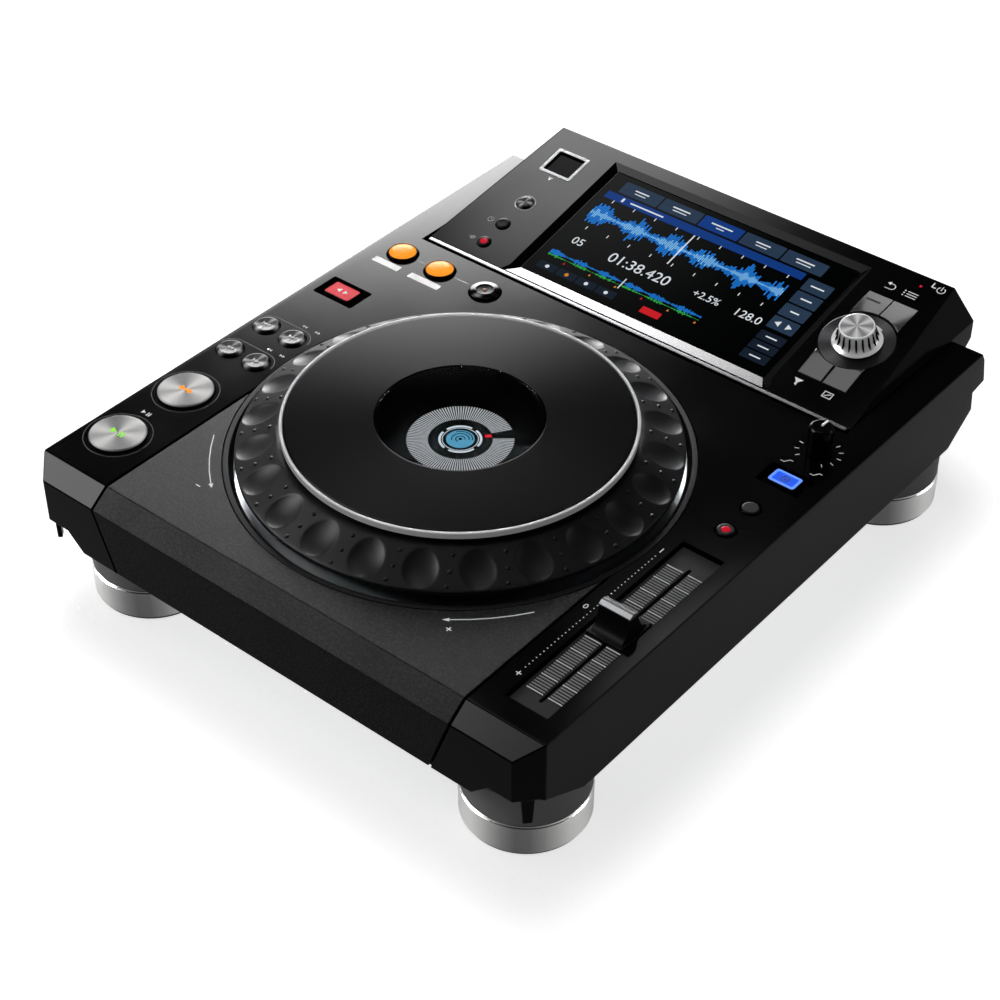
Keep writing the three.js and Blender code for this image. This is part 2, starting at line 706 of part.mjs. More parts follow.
addPiece(player, 'power_supply', powerSupplySolid(), boardGreen);

// Rear plate and its connectors, drawn with the plate's back face at y = 0

const plateBackY = rearWallY - body.wall - gap;
const powerX = halfWidth - power.inset;
const inletX = halfWidth - inlet.inset;
const plateFrontDepth = -rearPlate.thickness;
const rearPlateHalf = rearBlockHalf - body.wall - gap;

function inPlateHole(place, halfX, halfZ) {
  return block(
    [place - halfX, plateFrontDepth - overcut, connectorZ - halfZ],
    [place + halfX, overcut, connectorZ + halfZ],
  );
}

function rearPanel() {
  const plate = block(
    [-rearPlateHalf, plateFrontDepth, floorTop + gap],
    [rearPlateHalf, 0, rearPlate.rise - body.height],
  );
  const jackHoles = jackPlaces().map((x) => (
    backRod(jacks.radius + gap, -jacks.block, jacks.block, x, connectorZ)
  ));
  return cut(
    plate,
    inPlateHole(powerX, power.size / 2 + power.play, power.size / 2 + power.play),
    inPlateHole(inletX, inlet.width / 2 + gap, inlet.height / 2 + gap),
    inPlateHole(ports.x, ports.width / 2 + gap, ports.height / 2 + gap),
    ...jackHoles,
  );
}

// Cylinder along Y, between two depths
function backRod(radius, low, high, x, z) {
  return moved(rod(radius, low, high, buttonFacets).rotate([-90, 0, 0]), x, 0, z);
}

function jackPlaces() {
  const middle = (jackCount - 1) / 2;
  return Array.from({ length: jackCount }, (_, i) => jacks.x + (i - middle) * jacks.spread);
}

addPiece(player, 'rear_panel', rearPanel(), satinBlack, 0, plateBackY, 0);

function inletSolid() {
  const shell = block(
    [-inlet.width / 2, -inlet.depth, -inlet.height / 2],
    [inlet.width / 2, inlet.nose, inlet.height / 2],
  );
  const hole = block(
    [-inlet.holeWidth / 2, -inlet.holeDepth, -inlet.holeHeight / 2],
    [inlet.holeWidth / 2, inlet.nose + overcut, inlet.holeHeight / 2],
  );
  const pinFoot = -inlet.holeDepth - overcut / 2;
  const pinTip = inlet.pinLength - inlet.holeDepth;
  const pins = [-1, 1].map((side) => backRod(inlet.pinRadius, pinFoot, pinTip, side * inlet.pinSpread, 0));
  return joined(cut(shell, hole), ...pins);
}

addPiece(player, 'ac_inlet', inletSolid(), satinBlack, inletX, plateBackY, connectorZ);

function audioJacksSolid() {
  const rail = block(
    [-jacks.spread * jackCount / 2, plateFrontDepth - gap - jacks.blockDepth, -jacks.block / 2],
    [jacks.spread * jackCount / 2, plateFrontDepth - gap, jacks.block / 2],
  );
  const low = -jacks.blockDepth / 2;
  const places = jackPlaces().map((x) => x - jacks.x);
  const barrels = places.map((x) => backRod(jacks.radius, low, jacks.length, x, 0));
  const bores = places.map((x) => backRod(jacks.bore, low, jacks.length + overcut, x, 0));
  return cut(joined(rail, ...barrels), ...bores);
}

addPiece(player, 'audio_jacks', audioJacksSolid(), aluminium, jacks.x, plateBackY, connectorZ);

function linkPortsSolid() {
  const shell = block(
    [-ports.width / 2, -ports.depth, -ports.height / 2],
    [ports.width / 2, ports.nose, ports.height / 2],
  );
  const net = block(
    [ports.netX - ports.netWidth / 2, -ports.netDepth, -ports.netHeight / 2],
    [ports.netX + ports.netWidth / 2, ports.nose + overcut, ports.netHeight / 2],
  );
  const plug = block(
    [ports.plugX - ports.plugWidth / 2, -ports.plugDepth, -ports.plugHeight / 2],
    [ports.plugX + ports.plugWidth / 2, ports.nose + overcut, ports.plugHeight / 2],
  );
  const tongue = block(
    [ports.plugX - ports.tongueWidth / 2, -ports.plugDepth - overcut / 2, -ports.tongueHeight / 2],
    [ports.plugX + ports.tongueWidth / 2, 0, ports.tongueHeight / 2],
  );
  return joined(cut(shell, net, plug), tongue);
}

addPiece(player, 'link_ports', linkPortsSolid(), zincSteel, ports.x, plateBackY, connectorZ);

function powerButtonSolid() {
  const half = power.size / 2;
  const flangeHalf = half + power.play + power.flange;
  const stem = block([-half, plateFrontDepth - gap, -half], [half, power.rise, half]);
  const flange = block(
    [-flangeHalf, plateFrontDepth - gap - power.flangeThickness, -flangeHalf],
    [flangeHalf, plateFrontDepth - gap, flangeHalf],
  );
  return joined(stem, flange);
}

addPiece(player, 'power_button', powerButtonSolid(), greyPlastic, powerX, plateBackY, connectorZ);

// Jog wheel, drawn about its own axis

const jogGroup = new THREE.Group();
jogGroup.position.set(0, jogY, 0);
player.add(jogGroup);

const jogBezelOutline = [
  [bezelRadius, 0],
  [slopeRadius, 0],
  [throatRadius, -bezel.slopeDrop],
  [throatRadius, -bezel.depth],
  [bezelLipRadius, -bezel.depth],
  [bezelLipRadius, -body.deckThickness - gap],
  [bezelRadius, -body.deckThickness - gap],
];
addPiece(jogGroup, 'jog_bezel', turned(jogBezelOutline, jogFacets), glossBlack);

const baseTop = -bezel.depth - gap;
const seatTop = baseTop + jogBase.seatRise;
const jogBaseOutline = [
  [0, baseTop - jogBase.thickness],
  [bezelLipRadius, baseTop - jogBase.thickness],
  [bezelLipRadius, baseTop],
  [bearing.outerRadius + jogBase.hubRun, baseTop],
  [bearing.outerRadius, seatTop],
  [bearing.innerRadius - gap, seatTop],
  [bearing.innerRadius - gap, jogBase.postTop],
  [0, jogBase.postTop],
];
addPiece(jogGroup, 'jog_base', turned(jogBaseOutline, jogFacets / 2), zincSteel);

const bearingFoot = seatTop + gap;
const bearingOutline = [
  [bearing.innerRadius, bearingFoot],
  [bearing.outerRadius, bearingFoot],
  [bearing.outerRadius, bearingFoot + bearing.height],
  [bearing.innerRadius, bearingFoot + bearing.height],
];
addPiece(jogGroup, 'jog_bearing', turned(bearingOutline, jogFacets / 3), zincSteel);

const webHalf = platter.webThickness / 2;
const flangeFall = (platter.neckTop - platter.rimTop) / platter.flangeRun;
const bossInner = bearing.outerRadius + gap;
const platterOutline = [
  [bossInner, bearingFoot],
  [bossInner + platter.bossWall, bearingFoot],
  [bossInner + platter.bossWall, -webHalf],
  [drumRadius, -webHalf],
  [drumRadius, platter.neckTop - platter.flangeWall],
  [platter.rimRadius, platter.rimFoot],
  [platter.rimRadius, platter.rimTop],
  [neckRadius, platter.neckTop],
  [drumRadius, platter.neckTop],
  [drumRadius, platter.drumTop],
  [drumRadius - platter.drumWall, platter.drumTop],
  [drumRadius - platter.drumWall, webHalf],
  [bossInner, webHalf],
];

// Finger dimple: a flattened ball over the sloping flange, which it meets in an oval of the stated size
function fingerDimple(angle) {
  const rise = dimple.ballHalf - dimple.depth;
  const footShare = Math.sqrt(1 - (rise / dimple.ballHalf) ** 2);
  const geometry = new THREE.SphereGeometry(1, dimpleFacets, dimpleRings);
  geometry.rotateX(Math.PI / 2);
  geometry.scale(dimple.radialHalf / footShare, dimple.sideHalf / footShare, dimple.ballHalf);
  geometry.rotateY(Math.atan(flangeFall));
  const height = platter.rimTop + dimple.inset * flangeFall + rise;
  geometry.translate(platter.rimRadius - dimple.inset, 0, height);
  geometry.rotateZ(angle);
  return toSolid(geometry);
}

function jogPlatter() {
  const step = 2 * Math.PI / dimpleCount;
  const dimples = Array.from({ length: dimpleCount }, (_, i) => fingerDimple(i * step));
  return cut(turned(platterOutline, platterFacets), ...dimples);
}

addPiece(jogGroup, 'jog_platter', jogPlatter(), mattePlastic);

const capRadius = drumRadius + topPlate.overhang;
const capFoot = platter.drumTop + gap;
const capTop = capFoot + topPlate.thickness;
const lensFoot = capTop - gap - jogLens.thickness;
const ledgeTop = lensFoot - gap;
const skirtInner = topPlate.windowRadius - topPlate.ledge;
const topPlateOutline = [
  [capRadius, capFoot],
  [capRadius, capTop],
  [topPlate.windowRadius, capTop],
  [topPlate.windowRadius, ledgeTop],
  [skirtInner, ledgeTop],
  [skirtInner, capTop - topPlate.skirtDrop],
  [skirtInner + topPlate.skirtWall, capTop - topPlate.skirtDrop],
  [skirtInner + topPlate.skirtWall, capFoot],
];
addPiece(jogGroup, 'jog_top_plate', turned(topPlateOutline, jogFacets), satinBlack);

const jogRingInner = capRadius + gap;
const jogRingOutline = [
  [jogRingInner, capTop - jogRing.height],
  [jogRingInner + jogRing.wall, capTop - jogRing.height],
  [jogRingInner + jogRing.wall, capTop],
  [jogRingInner, capTop],
];
addPiece(jogGroup, 'jog_ring', turned(jogRingOutline, jogFacets), chrome);
const jogLensSolid = rod(topPlate.windowRadius - gap, lensFoot, lensFoot + jogLens.thickness, jogFacets);
addPiece(jogGroup, 'jog_window', jogLensSolid, clearGlass);
const jogDisplayRadius = topPlate.windowRadius - jogDisplay.inset;
const jogDisplayTop = jogDisplay.foot + jogDisplay.thickness;
const jogDisplaySolid = rod(jogDisplayRadius, jogDisplay.foot, jogDisplayTop, jogFacets / 2);
addPiece(jogGroup, 'jog_display', jogDisplaySolid, satinBlack);

// Buttons of the deck: a cap through the deck and a flange under it that keeps it in

const flangeTop = -body.deckThickness - gap;
const flangeFoot = flangeTop - deckButton.flangeThickness;

for (const button of deckButtons) {
  const flangeRadius = button.radius + button.play + deckButton.flange;
  const outline = [
    [0, flangeFoot],
    [flangeRadius, flangeFoot],
    [flangeRadius, flangeTop],
    [button.radius, flangeTop],
    [button.radius, button.rise - deckButton.crownRise],
    [button.radius - deckButton.crown, button.rise],
    [0, button.rise],
  ];
  const solid = turned(outline, buttonFacets);
  addPiece(player, button.name, solid, buttonFinish(button.name), button.x, button.y, 0);
}

function buttonFinish(name) {
  if (name.startsWith('loop')) return amberPlastic;
  if (name.startsWith('cue') || name.startsWith('play')) return aluminium;
  return name.startsWith('master') || name.startsWith('quantize') ? redPlastic : satinBlack;
}

for (const key of deckKeys) {
  const flangeX = key.recessX / 2 + deckKey.flange;
  const flangeY = key.recessY / 2 + deckKey.flange;
  const flange = block([-flangeX, -flangeY, flangeFoot], [flangeX, flangeY, flangeTop]);
  const keyCap = block(
    [-key.capX / 2, -key.capY / 2, flangeTop - deckButton.flangeThickness / 2],
    [key.capX / 2, key.capY / 2, deckKey.rise],
  );
  const keyFinish = key.x < 0 ? redPlastic : bluePlastic;
  addPiece(player, key.name, joined(flange, keyCap), keyFinish, key.x, key.y, 0);
}

// Tempo knob on its shaft

const speedOutline = [
  [0, -speed.shaftDrop],
  [speed.shaftRadius, -speed.shaftDrop],
  [speed.shaftRadius, speed.foot],
  [speed.radius, speed.foot],
  [speed.neck, speed.top - speed.edgeDrop],
  [speed.edge, speed.top],
  [0, speed.top],
];
const speedPointer = block(
  [-speed.pointer / 2, 0, speed.top - speed.pointerRise],
  [speed.pointer / 2, speed.edge - speed.pointerRise, speed.top + speed.pointerRise],
);
const speedKnobSolid = joined(turned(speedOutline, knobFacets), speedPointer);
addPiece(player, 'speed_knob', speedKnobSolid, satinBlack, speedX, speedY, 0);

// Tempo slider: tray under the deck, cap with its stem, and the board with the fader and the pot

const slotHalf = slider.slotWidth / 2;

function sliderTray() {
  const half = slider.width / 2;
  const top = block(
    [sliderX - half + gap, slider.front + gap, -slider.foot],
    [sliderX + half - gap, sliderBack - gap, -slider.drop],
  );
  const flange = block(
    [sliderX - half - slider.flange, slider.front - slider.flange, -slider.foot],
    [sliderX + half + slider.flange, sliderBack + slider.flange, flangeTop],
  );
  const slot = block(
    [slotX - slotHalf, slotFront, -slider.foot - overcut],
    [slotX + slotHalf, slotBack, overcut],
  );
  return cut(joined(top, flange), slot);
}

addPiece(player, 'slider_plate', sliderTray(), greyPlastic);

function sliderCap() {
  const foot = cap.lift - slider.drop;
  const skirtTop = foot + cap.skirtRise;
  const outline = [
    [-cap.skirtFront, foot],
    [cap.skirtBack, foot],
    [cap.skirtBack, skirtTop],
    [cap.waistBack, foot + cap.waistRise],
    [cap.neck, foot + cap.neckRise],
    [cap.crown, cap.crownBack],
    [0, cap.ridge],
    [-cap.crown, cap.crownFront],
    [-cap.neck, foot + cap.neckRise],
    [-cap.waistFront, foot + cap.waistRise],
    [-cap.skirtFront, skirtTop],
  ];
  const grip = prism(outline, 'x', -cap.width / 2, cap.width / 2);
  const skirt = block(
    [-cap.skirtWidth / 2, -cap.skirtFront, foot],
    [cap.skirtWidth / 2, cap.skirtBack, skirtTop],
  );
  const stem = block(
    [slider.slotOffset - cap.stem / 2, -cap.stemLength / 2, -cap.stemDrop],
    [slider.slotOffset + cap.stem / 2, cap.stemLength / 2, skirtTop],
  );
  return joined(grip, skirt, stem);
}

addPiece(player, 'slider_cap', sliderCap(), satinBlack, sliderX, capY, 0);

function faderBoard() {
  const boardLow = -fader.boardTop - board.thickness;
  const strip = block(
    [sliderX - fader.boardHalf, slider.front - fader.frontMargin, boardLow],
    [sliderX + fader.boardHalf, speedY + fader.potHalf, -fader.boardTop],
  );
  const track = block(
    [slotX - fader.bodyHalf, slider.front + gap, boardLow + board.thickness / 2],
    [slotX + fader.bodyHalf, sliderBack - gap, -slider.foot - gap],
  );
  const trackGroove = block(
    [slotX - slotHalf, slotFront, fader.grooveFloor - fader.boardTop],
    [slotX + slotHalf, slotBack, overcut],
  );
  const pot = block(
    [speedX - fader.potHalf, speedY - fader.potHalf, boardLow + board.thickness / 2],
    [speedX + fader.potHalf, speedY + fader.potHalf, flangeTop],
  );
  const bushRadius = speed.shaftRadius + fader.shaftPlay;
  const bush = rod(bushRadius, -speed.shaftDrop - fader.potFloor, overcut, buttonFacets, speedX, speedY);
  return cut(joined(strip, track, pot), trackGroove, bush);
}

addPiece(player, 'fader_board', faderBoard(), boardGreen);

// Display housing

function mirroredPoints(points) {
  return points.flatMap(([x, y, z]) => [new THREE.Vector3(x, y, z), new THREE.Vector3(-x, y, z)]);
}

function housingHull() {
  return toSolid(new ConvexGeometry(mirroredPoints([
    [housingHalf - housing.frontInset, housingY, -housing.frontDrop],
    [housingHalf - housing.backInset, housingBackY, housing.backRise],
    [housingHalf, housingRearY, housing.rearRise],
    [housingHalf, housingRearY, -housing.rearDrop],
    [housingHalf, housingRearY - housing.lipInset, -housing.foot],
    [housingHalf, housingY, -housing.foot],
  ])));
}

// Height of the sloping plate's underside at a place along Y
function plateUnder(y) {
  return (y - housingY) * Math.tan(plateTilt) - housing.frontDrop - housing.plate / Math.cos(plateTilt);
}

function housingCavity() {
  const half = housingHalf - housing.wall;
  const frontY = housingY + housing.wall;
  const backY = housingBackY - housing.wall;
  const rearY = housingRearY - housing.wall;
  const upper = toSolid(new ConvexGeometry(mirroredPoints([
    [half - housing.frontInset, frontY, plateUnder(frontY)],
    [half - housing.backInset, backY, plateUnder(backY)],
    [half, rearY, housing.rearRise - housing.wall],
    [half, rearY, housing.floor - housing.rearDrop],
    [half, housingRearY - housing.lipInset - housing.wall, housing.floor - housing.foot],
    [half, frontY, housing.floor - housing.foot],
  ])));
  const floorY = rearWallY - housing.floorReach;
  const mouth = block([-half, frontY, -housing.foot - overcut], [half, floorY, -housing.rearDrop]);
  return joined(upper, mouth);
}

// Screen recess: sloping sides and back, and a step at the front that holds the bright strip
function screenRecess() {
  const half = glass.width / 2 + recess.side;
  const inner = half - recess.slope;
  const spread = recess.slope * overcut / recess.depth;
  const front = glass.frontMargin - recess.frontRun;
  const back = glassBack + recess.backRun;
  const bowl = toSolid(new ConvexGeometry(mirroredPoints([
    [half + spread, back + spread, overcut],
    [inner, back - recess.slope, -recess.depth],
    [half + spread, front, overcut],
    [inner, front, -recess.depth],
  ])));
  const step = prism([
    [-half, front],
    [half, front],
    [half - recess.trimTaper, glass.frontMargin],
    [recess.trimTaper - half, glass.frontMargin],
  ], 'z', -recess.depth - gap, overcut);
  const window = block(
    [-glass.width / 2 - gap, glass.frontMargin - gap, -housing.plate - overcut],
    [glass.width / 2 + gap, glassBack + gap, overcut],
  );
  return joined(bowl, step, window);
}

const keyHalf = keyBlock.width / 2;

function keyOpening() {
  return block(
    [keyX - keyHalf - gap, keyBlock.front - gap, -housing.plate - overcut],
    [keyX + keyHalf + gap, keyBack + gap, overcut],
  );
}

function lidOpening() {
  return block(
    [usbX - usb.width / 2, usbFront, -housing.plate - overcut],
    [usbX + usb.width / 2, usbBack, overcut],
  );
}

function plateHole(button) {
  const radius = button.radius + plateButton.play;
  return rod(radius, -housing.plate - overcut, overcut, buttonFacets, button.x, button.s);
}

function displayHousing() {
  return cut(
    housingHull(),
    housingCavity(),
    onPlate(screenRecess()),
    onPlate(keyOpening()),
    onPlate(lidOpening()),
    ...plateButtons.map((button) => onPlate(plateHole(button))),
  );
}

addPiece(player, 'display_housing', displayHousing(), glossBlack);

const barSolid = block(
  [frontBar.inset - housingHalf, grooveY + groove.width, gap - groove.depth],
  [housingHalf - frontBar.inset, housingY - gap, -frontBar.drop],
);
addPiece(player, 'front_bar', barSolid, chrome);

// Pieces on the sloping plate, drawn with Z = 0 on its top face

const glassTop = -recess.depth;
const plateFoot = -housing.plate - gap;
const glassSolid = block(
  [-glass.width / 2, glass.frontMargin, glassTop - glass.thickness],
  [glass.width / 2, glassBack, glassTop],
);
addPiece(plateGroup, 'display_glass', glassSolid, clearGlass);

function screenPanel() {
  const half = glass.width / 2 + panel.rim;
  const front = glass.frontMargin - panel.rim;
  const back = glassBack + panel.rim;
  const slab = block([-half, front, plateFoot - panel.thickness], [half, back, plateFoot]);
  const backing = block(
    [panel.backingInset - half, front + panel.backingInset, plateFoot - panel.thickness - panel.backing],
    [half - panel.backingInset, back - panel.backingInset, plateFoot - panel.thickness / 2],
  );
  return joined(slab, backing);
}

addPiece(plateGroup, 'lcd_module', screenPanel(), satinBlack);

function trimStrip() {
  const front = glass.frontMargin - recess.frontRun;
  const start = front + gap;
  const end = front + recess.trimRun;
  const half = glass.width / 2 + recess.side - gap;
  const section = prism([
    [start, glassTop],
    [end, glassTop],
    [end, glassTop + trim.back],
    [start, -trim.lip],
  ], 'x', -half, half);
  const taper = recess.trimTaper * recess.trimRun / recess.frontRun;
  const plan = prism([
    [-half, start],
    [half, start],
    [half - taper, end],
    [taper - half, end],
  ], 'z', glassTop - overcut, overcut);
  return section.intersect(plan);
}

addPiece(plateGroup, 'display_trim', trimStrip(), aluminium);

const lidTop = -usb.lidDrop;
const lidFoot = lidTop - usb.lidThickness;
const usbLid = block(
  [gap - usb.width / 2, usbFront + gap, lidFoot],
  [usb.width / 2 - gap, usbBack - gap, lidTop],
);
addPiece(plateGroup, 'usb_lid', usbLid, satinBlack, usbX, 0, 0);

function usbSocket() {
  const half = usb.width / 2;
  const middle = (usbFront + usbBack) / 2;
  const shell = block(
    [-half - usb.wall, usbFront - usb.wall, -usb.blockDepth],
    [half + usb.wall, usbBack + usb.wall, plateFoot],
  );
  const well = block([-half, usbFront, -usb.wellDepth], [half, usbBack, overcut]);
  const slot = block(
    [-usb.slotWidth / 2, middle - usb.slotThick / 2, -usb.wellDepth - usb.slotDepth],
    [usb.slotWidth / 2, middle + usb.slotThick / 2, overcut],
  );
  const tongue = block(
    [-usb.tongueWidth / 2, middle - usb.tongueThick / 2, -usb.wellDepth - usb.slotDepth - usb.wall / 2],
    [usb.tongueWidth / 2, middle + usb.tongueThick / 2, -usb.wellDepth],
  );
  return joined(cut(shell, well, slot), tongue);
}

addPiece(plateGroup, 'usb_socket', usbSocket(), greyPlastic, usbX, 0, 0);

for (const button of plateButtons) {
  const flangeRadius = button.radius + plateButton.play + plateButton.flange;
  const outline = [
    [0, plateFoot - plateButton.flangeThickness],
    [flangeRadius, plateFoot - plateButton.flangeThickness],
    [flangeRadius, plateFoot],
    [button.radius, plateFoot],
    [button.radius, plateButton.rise],
    [0, plateButton.rise],
  ];
  const solid = turned(outline, buttonFacets);
  addPiece(plateGroup, button.name, solid, buttonFinish(button.name), button.x, button.s, 0);
}

// Four keys, each a quarter of the block with the knob's skirt cut out of it
const keySides = {
  back_button: [-1, 1],
  tag_track_button: [1, 1],
  track_filter_button: [-1, -1],
  shortcut_button: [1, -1],
};
for (const [name, [sideX, sideS]] of Object.entries(keySides)) {
  const innerX = sideX * keyBlock.slit / 2;
  const outerX = sideX * keyHalf;
  const endS = sideS > 0 ? keyBack : keyBlock.front;
  const innerS = browseS + sideS * keyBlock.slit / 2;
  const corner = (x, s, z) => [x, s - browseS, z];
  const key = block(
    corner(Math.min(innerX, outerX), Math.min(innerS, endS), plateFoot - keyBlock.foot / 2),
    corner(Math.max(innerX, outerX), Math.max(innerS, endS), keyBlock.rise),
  );
  const flangeX = outerX + sideX * keyBlock.flange;
  const flangeS = endS + sideS * keyBlock.flange;
  const flange = block(
    corner(Math.min(innerX, flangeX), Math.min(innerS, flangeS), plateFoot - keyBlock.foot),
    corner(Math.max(innerX, flangeX), Math.max(innerS, flangeS), plateFoot),
  );
  const clearRadius = browse.skirtRadius + keyBlock.slit;
  const clearOfSkirt = rod(clearRadius, -housing.plate - 2 * overcut, overcut, knobFacets);
  addPiece(plateGroup, name, cut(joined(key, flange), clearOfSkirt), greyPlastic, keyX, browseS, 0);
}

// Browse knob: fixed skirt with the barrel, a shaft that can be pushed, and the knob that turns on it

const boreRadius = browse.shaftRadius + gap;
const skirtTop = browse.skirtLift + browse.skirtThickness;
const skirtOutline = [
  [boreRadius, -browse.barrelDrop],
  [boreRadius + browse.barrelWall, -browse.barrelDrop],
  [boreRadius + browse.barrelWall, browse.skirtLift],
  [browse.skirtRadius, browse.skirtLift],
  [browse.skirtRadius, browse.skirtLift + browse.skirtThickness / 2],
  [browse.skirtRadius - browse.skirtSlope, skirtTop],
  [boreRadius, skirtTop],
];
addPiece(plateGroup, 'browse_skirt', turned(skirtOutline, knobFacets), satinBlack, keyX, browseS, 0);

const collarTop = -browse.barrelDrop - gap;
const shaftOutline = [
  [0, collarTop - browse.collarThickness],
  [browse.shaftCollar, collarTop - browse.collarThickness],
  [browse.shaftCollar, collarTop],
  [browse.shaftRadius, collarTop],
  [browse.shaftRadius, browse.shaftTop],
  [0, browse.shaftTop],
];
addPiece(plateGroup, 'browse_shaft', turned(shaftOutline, buttonFacets), zincSteel, keyX, browseS, 0);

const knobFoot = skirtTop + browse.footLift;
const knobOutline = [
  [boreRadius, knobFoot],
  [browse.footRadius, knobFoot],
  [browse.footRadius - browse.edge, knobFoot + browse.footEdge],
  [browse.waistRadius, browse.waist],
  [browse.topRadius, browse.top - browse.footEdge],
  [browse.topRadius - browse.edge, browse.top],
  [0, browse.top],
  [0, browse.shaftTop + gap],
  [boreRadius, browse.shaftTop + gap],
];
addPiece(plateGroup, 'browse_knob', turned(knobOutline, knobFacets), chrome, keyX, browseS, 0);

// Feet: each is a turned foot with a metal band held in its waist

const footX = halfWidth - foot.inset;
const rearFootX = halfWidth - foot.rearInset;
const rearFootY = deckBackY - foot.rearMargin;
const footPlaces = {
  front_left: [-footX, foot.front],
  front_right: [footX, foot.front],
  rear_left: [-rearFootX, rearFootY],
  rear_right: [rearFootX, rearFootY],
};
const footTop = -body.height - gap;
const shoulderZ = footTop - foot.bodyHeight;
const bandTop = shoulderZ - gap;
const bandFoot = bandTop - foot.bandHeight;
const padTop = bandFoot - gap;
const waistRadius = foot.radius - foot.waistInset;
const padRadius = foot.radius - foot.padInset;
const footOutline = [
  [0, footTop],
  [foot.radius, footTop],
  [foot.radius, shoulderZ],
  [waistRadius, shoulderZ],
  [waistRadius, padTop],
  [padRadius, padTop],
  [padRadius, padTop - foot.padHeight],
  [0, padTop - foot.padHeight],
];
const bandOutline = [
  [waistRadius + gap, bandFoot],
  [foot.radius + foot.bandReach, bandFoot],
  [foot.radius + foot.bandReach, bandTop],
  [waistRadius + gap, bandTop],
];
for (const [place, [x, y]] of Object.entries(footPlaces)) {
  addPiece(player, `foot_${place}`, turned(footOutline, footFacets), rubberBlack, x, y, 0);
  addPiece(player, `foot_band_${place}`, turned(bandOutline, footFacets), aluminium, x, y, 0);
}

export default player;
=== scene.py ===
"""Looks of the DJ multi player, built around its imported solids.

Sizes are in millimetres in three local frames: the deck (x right, y back from the deck's front
edge, z up from the deck's top), the jog wheel (the same, about its own axis) and the housing's
sloping plate (x right, y up the slope from its front edge, z out of the plate).
"""

from __future__ import annotations

import json
import logging
import math
from dataclasses import dataclass, field
from enum import Enum
from typing import Iterable, Sequence

import bmesh
import bpy
from mathutils import Euler, Matrix, Vector

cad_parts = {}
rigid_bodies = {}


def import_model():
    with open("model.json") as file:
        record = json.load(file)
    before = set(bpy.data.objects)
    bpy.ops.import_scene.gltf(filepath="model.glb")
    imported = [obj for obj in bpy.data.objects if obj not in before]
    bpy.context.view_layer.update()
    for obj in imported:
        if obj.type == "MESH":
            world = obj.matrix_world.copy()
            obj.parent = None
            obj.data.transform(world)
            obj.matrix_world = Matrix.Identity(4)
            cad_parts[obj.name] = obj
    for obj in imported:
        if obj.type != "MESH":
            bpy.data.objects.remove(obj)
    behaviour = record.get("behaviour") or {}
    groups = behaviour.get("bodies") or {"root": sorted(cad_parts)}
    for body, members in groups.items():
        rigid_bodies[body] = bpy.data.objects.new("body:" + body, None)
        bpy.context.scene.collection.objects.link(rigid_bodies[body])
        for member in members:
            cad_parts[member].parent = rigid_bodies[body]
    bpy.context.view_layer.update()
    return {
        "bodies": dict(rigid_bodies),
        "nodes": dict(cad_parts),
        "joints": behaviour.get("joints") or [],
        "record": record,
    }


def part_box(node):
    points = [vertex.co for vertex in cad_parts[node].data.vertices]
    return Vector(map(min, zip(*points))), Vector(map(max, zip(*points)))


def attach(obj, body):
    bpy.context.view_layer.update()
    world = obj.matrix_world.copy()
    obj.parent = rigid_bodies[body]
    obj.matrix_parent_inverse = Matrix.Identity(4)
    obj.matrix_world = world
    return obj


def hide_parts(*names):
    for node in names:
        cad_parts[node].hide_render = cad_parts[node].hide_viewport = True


LOG = logging.getLogger("dj_multi_player")

MM = 0.001
TAU = 2 * math.pi
PRINT = (-0.02, 0.05)  # lowest and highest point of a print over its surface

Outline = Sequence[Sequence[float]]
Points = list[tuple[float, float]]


class Body(str, Enum):
    """CAD bodies that several pieces ride on."""

    ROOT = "root"
    JOG = "jog"
    SLIDER = "slider"
    SPEED = "speed_knob"
    BROWSE = "browse_knob"
    LID = "usb_lid"


class Slot(str, Enum):
    """Material slots of the record."""

    GLOSS = "gloss_black"
    TEXTURED = "textured_black"
    SATIN = "satin_black"
    PLATTER = "platter_plastic"
    ZINC = "zinc_steel"
    ALUMINIUM = "aluminium"
    CHROME = "chrome"
    LENS = "clear_lens"
    RUBBER = "foot_rubber"
    AMBER = "amber_plastic"
    RED = "red_plastic"
    BLUE = "blue_plastic"
    GREY = "grey_plastic"


def linear(colour: str) -> tuple[float, float, float, float]:
    """Turns an sRGB hex colour into linear red, green, blue and alpha."""
    shares = [int(colour[i : i + 2], 16) / 255 for i in (1, 3, 5)]
    red, green, blue = (s / 12.92 if s <= 0.04045 else ((s + 0.055) / 1.055) ** 2.4 for s in shares)
    return red, green, blue, 1.0


def feed(tree: bpy.types.NodeTree, node: bpy.types.Node, inputs: dict) -> None:
    """Sets a node's inputs, and links those whose value is a socket."""
    for key, value in inputs.items():
        socket = node.inputs[key]
        if isinstance(value, bpy.types.NodeSocket):
            tree.links.new(value, socket)
        else:
            socket.default_value = value


def add_node(
    tree: bpy.types.NodeTree, kind: str, inputs: dict | None = None, stops: Sequence[tuple] = (), **settings: object
) -> bpy.types.Node:
    """Adds a node with its settings and links.

    Args:
        tree: the tree that it joins.
        kind: the node's type name.
        inputs: values or output sockets by input name or index.
        stops: position and colour of each stop, where it is a colour ramp.
        settings: properties of the node itself.

    Returns:
        The new node.
    """
    node = tree.nodes.new(kind)
    for name, value in settings.items():
        setattr(node, name, value)
    for i, (position, colour) in enumerate(stops):
        stop = node.color_ramp.elements[i] if i < 2 else node.color_ramp.elements.new(1.0)
        stop.position, stop.color = position, colour
    feed(tree, node, inputs or {})
    return node


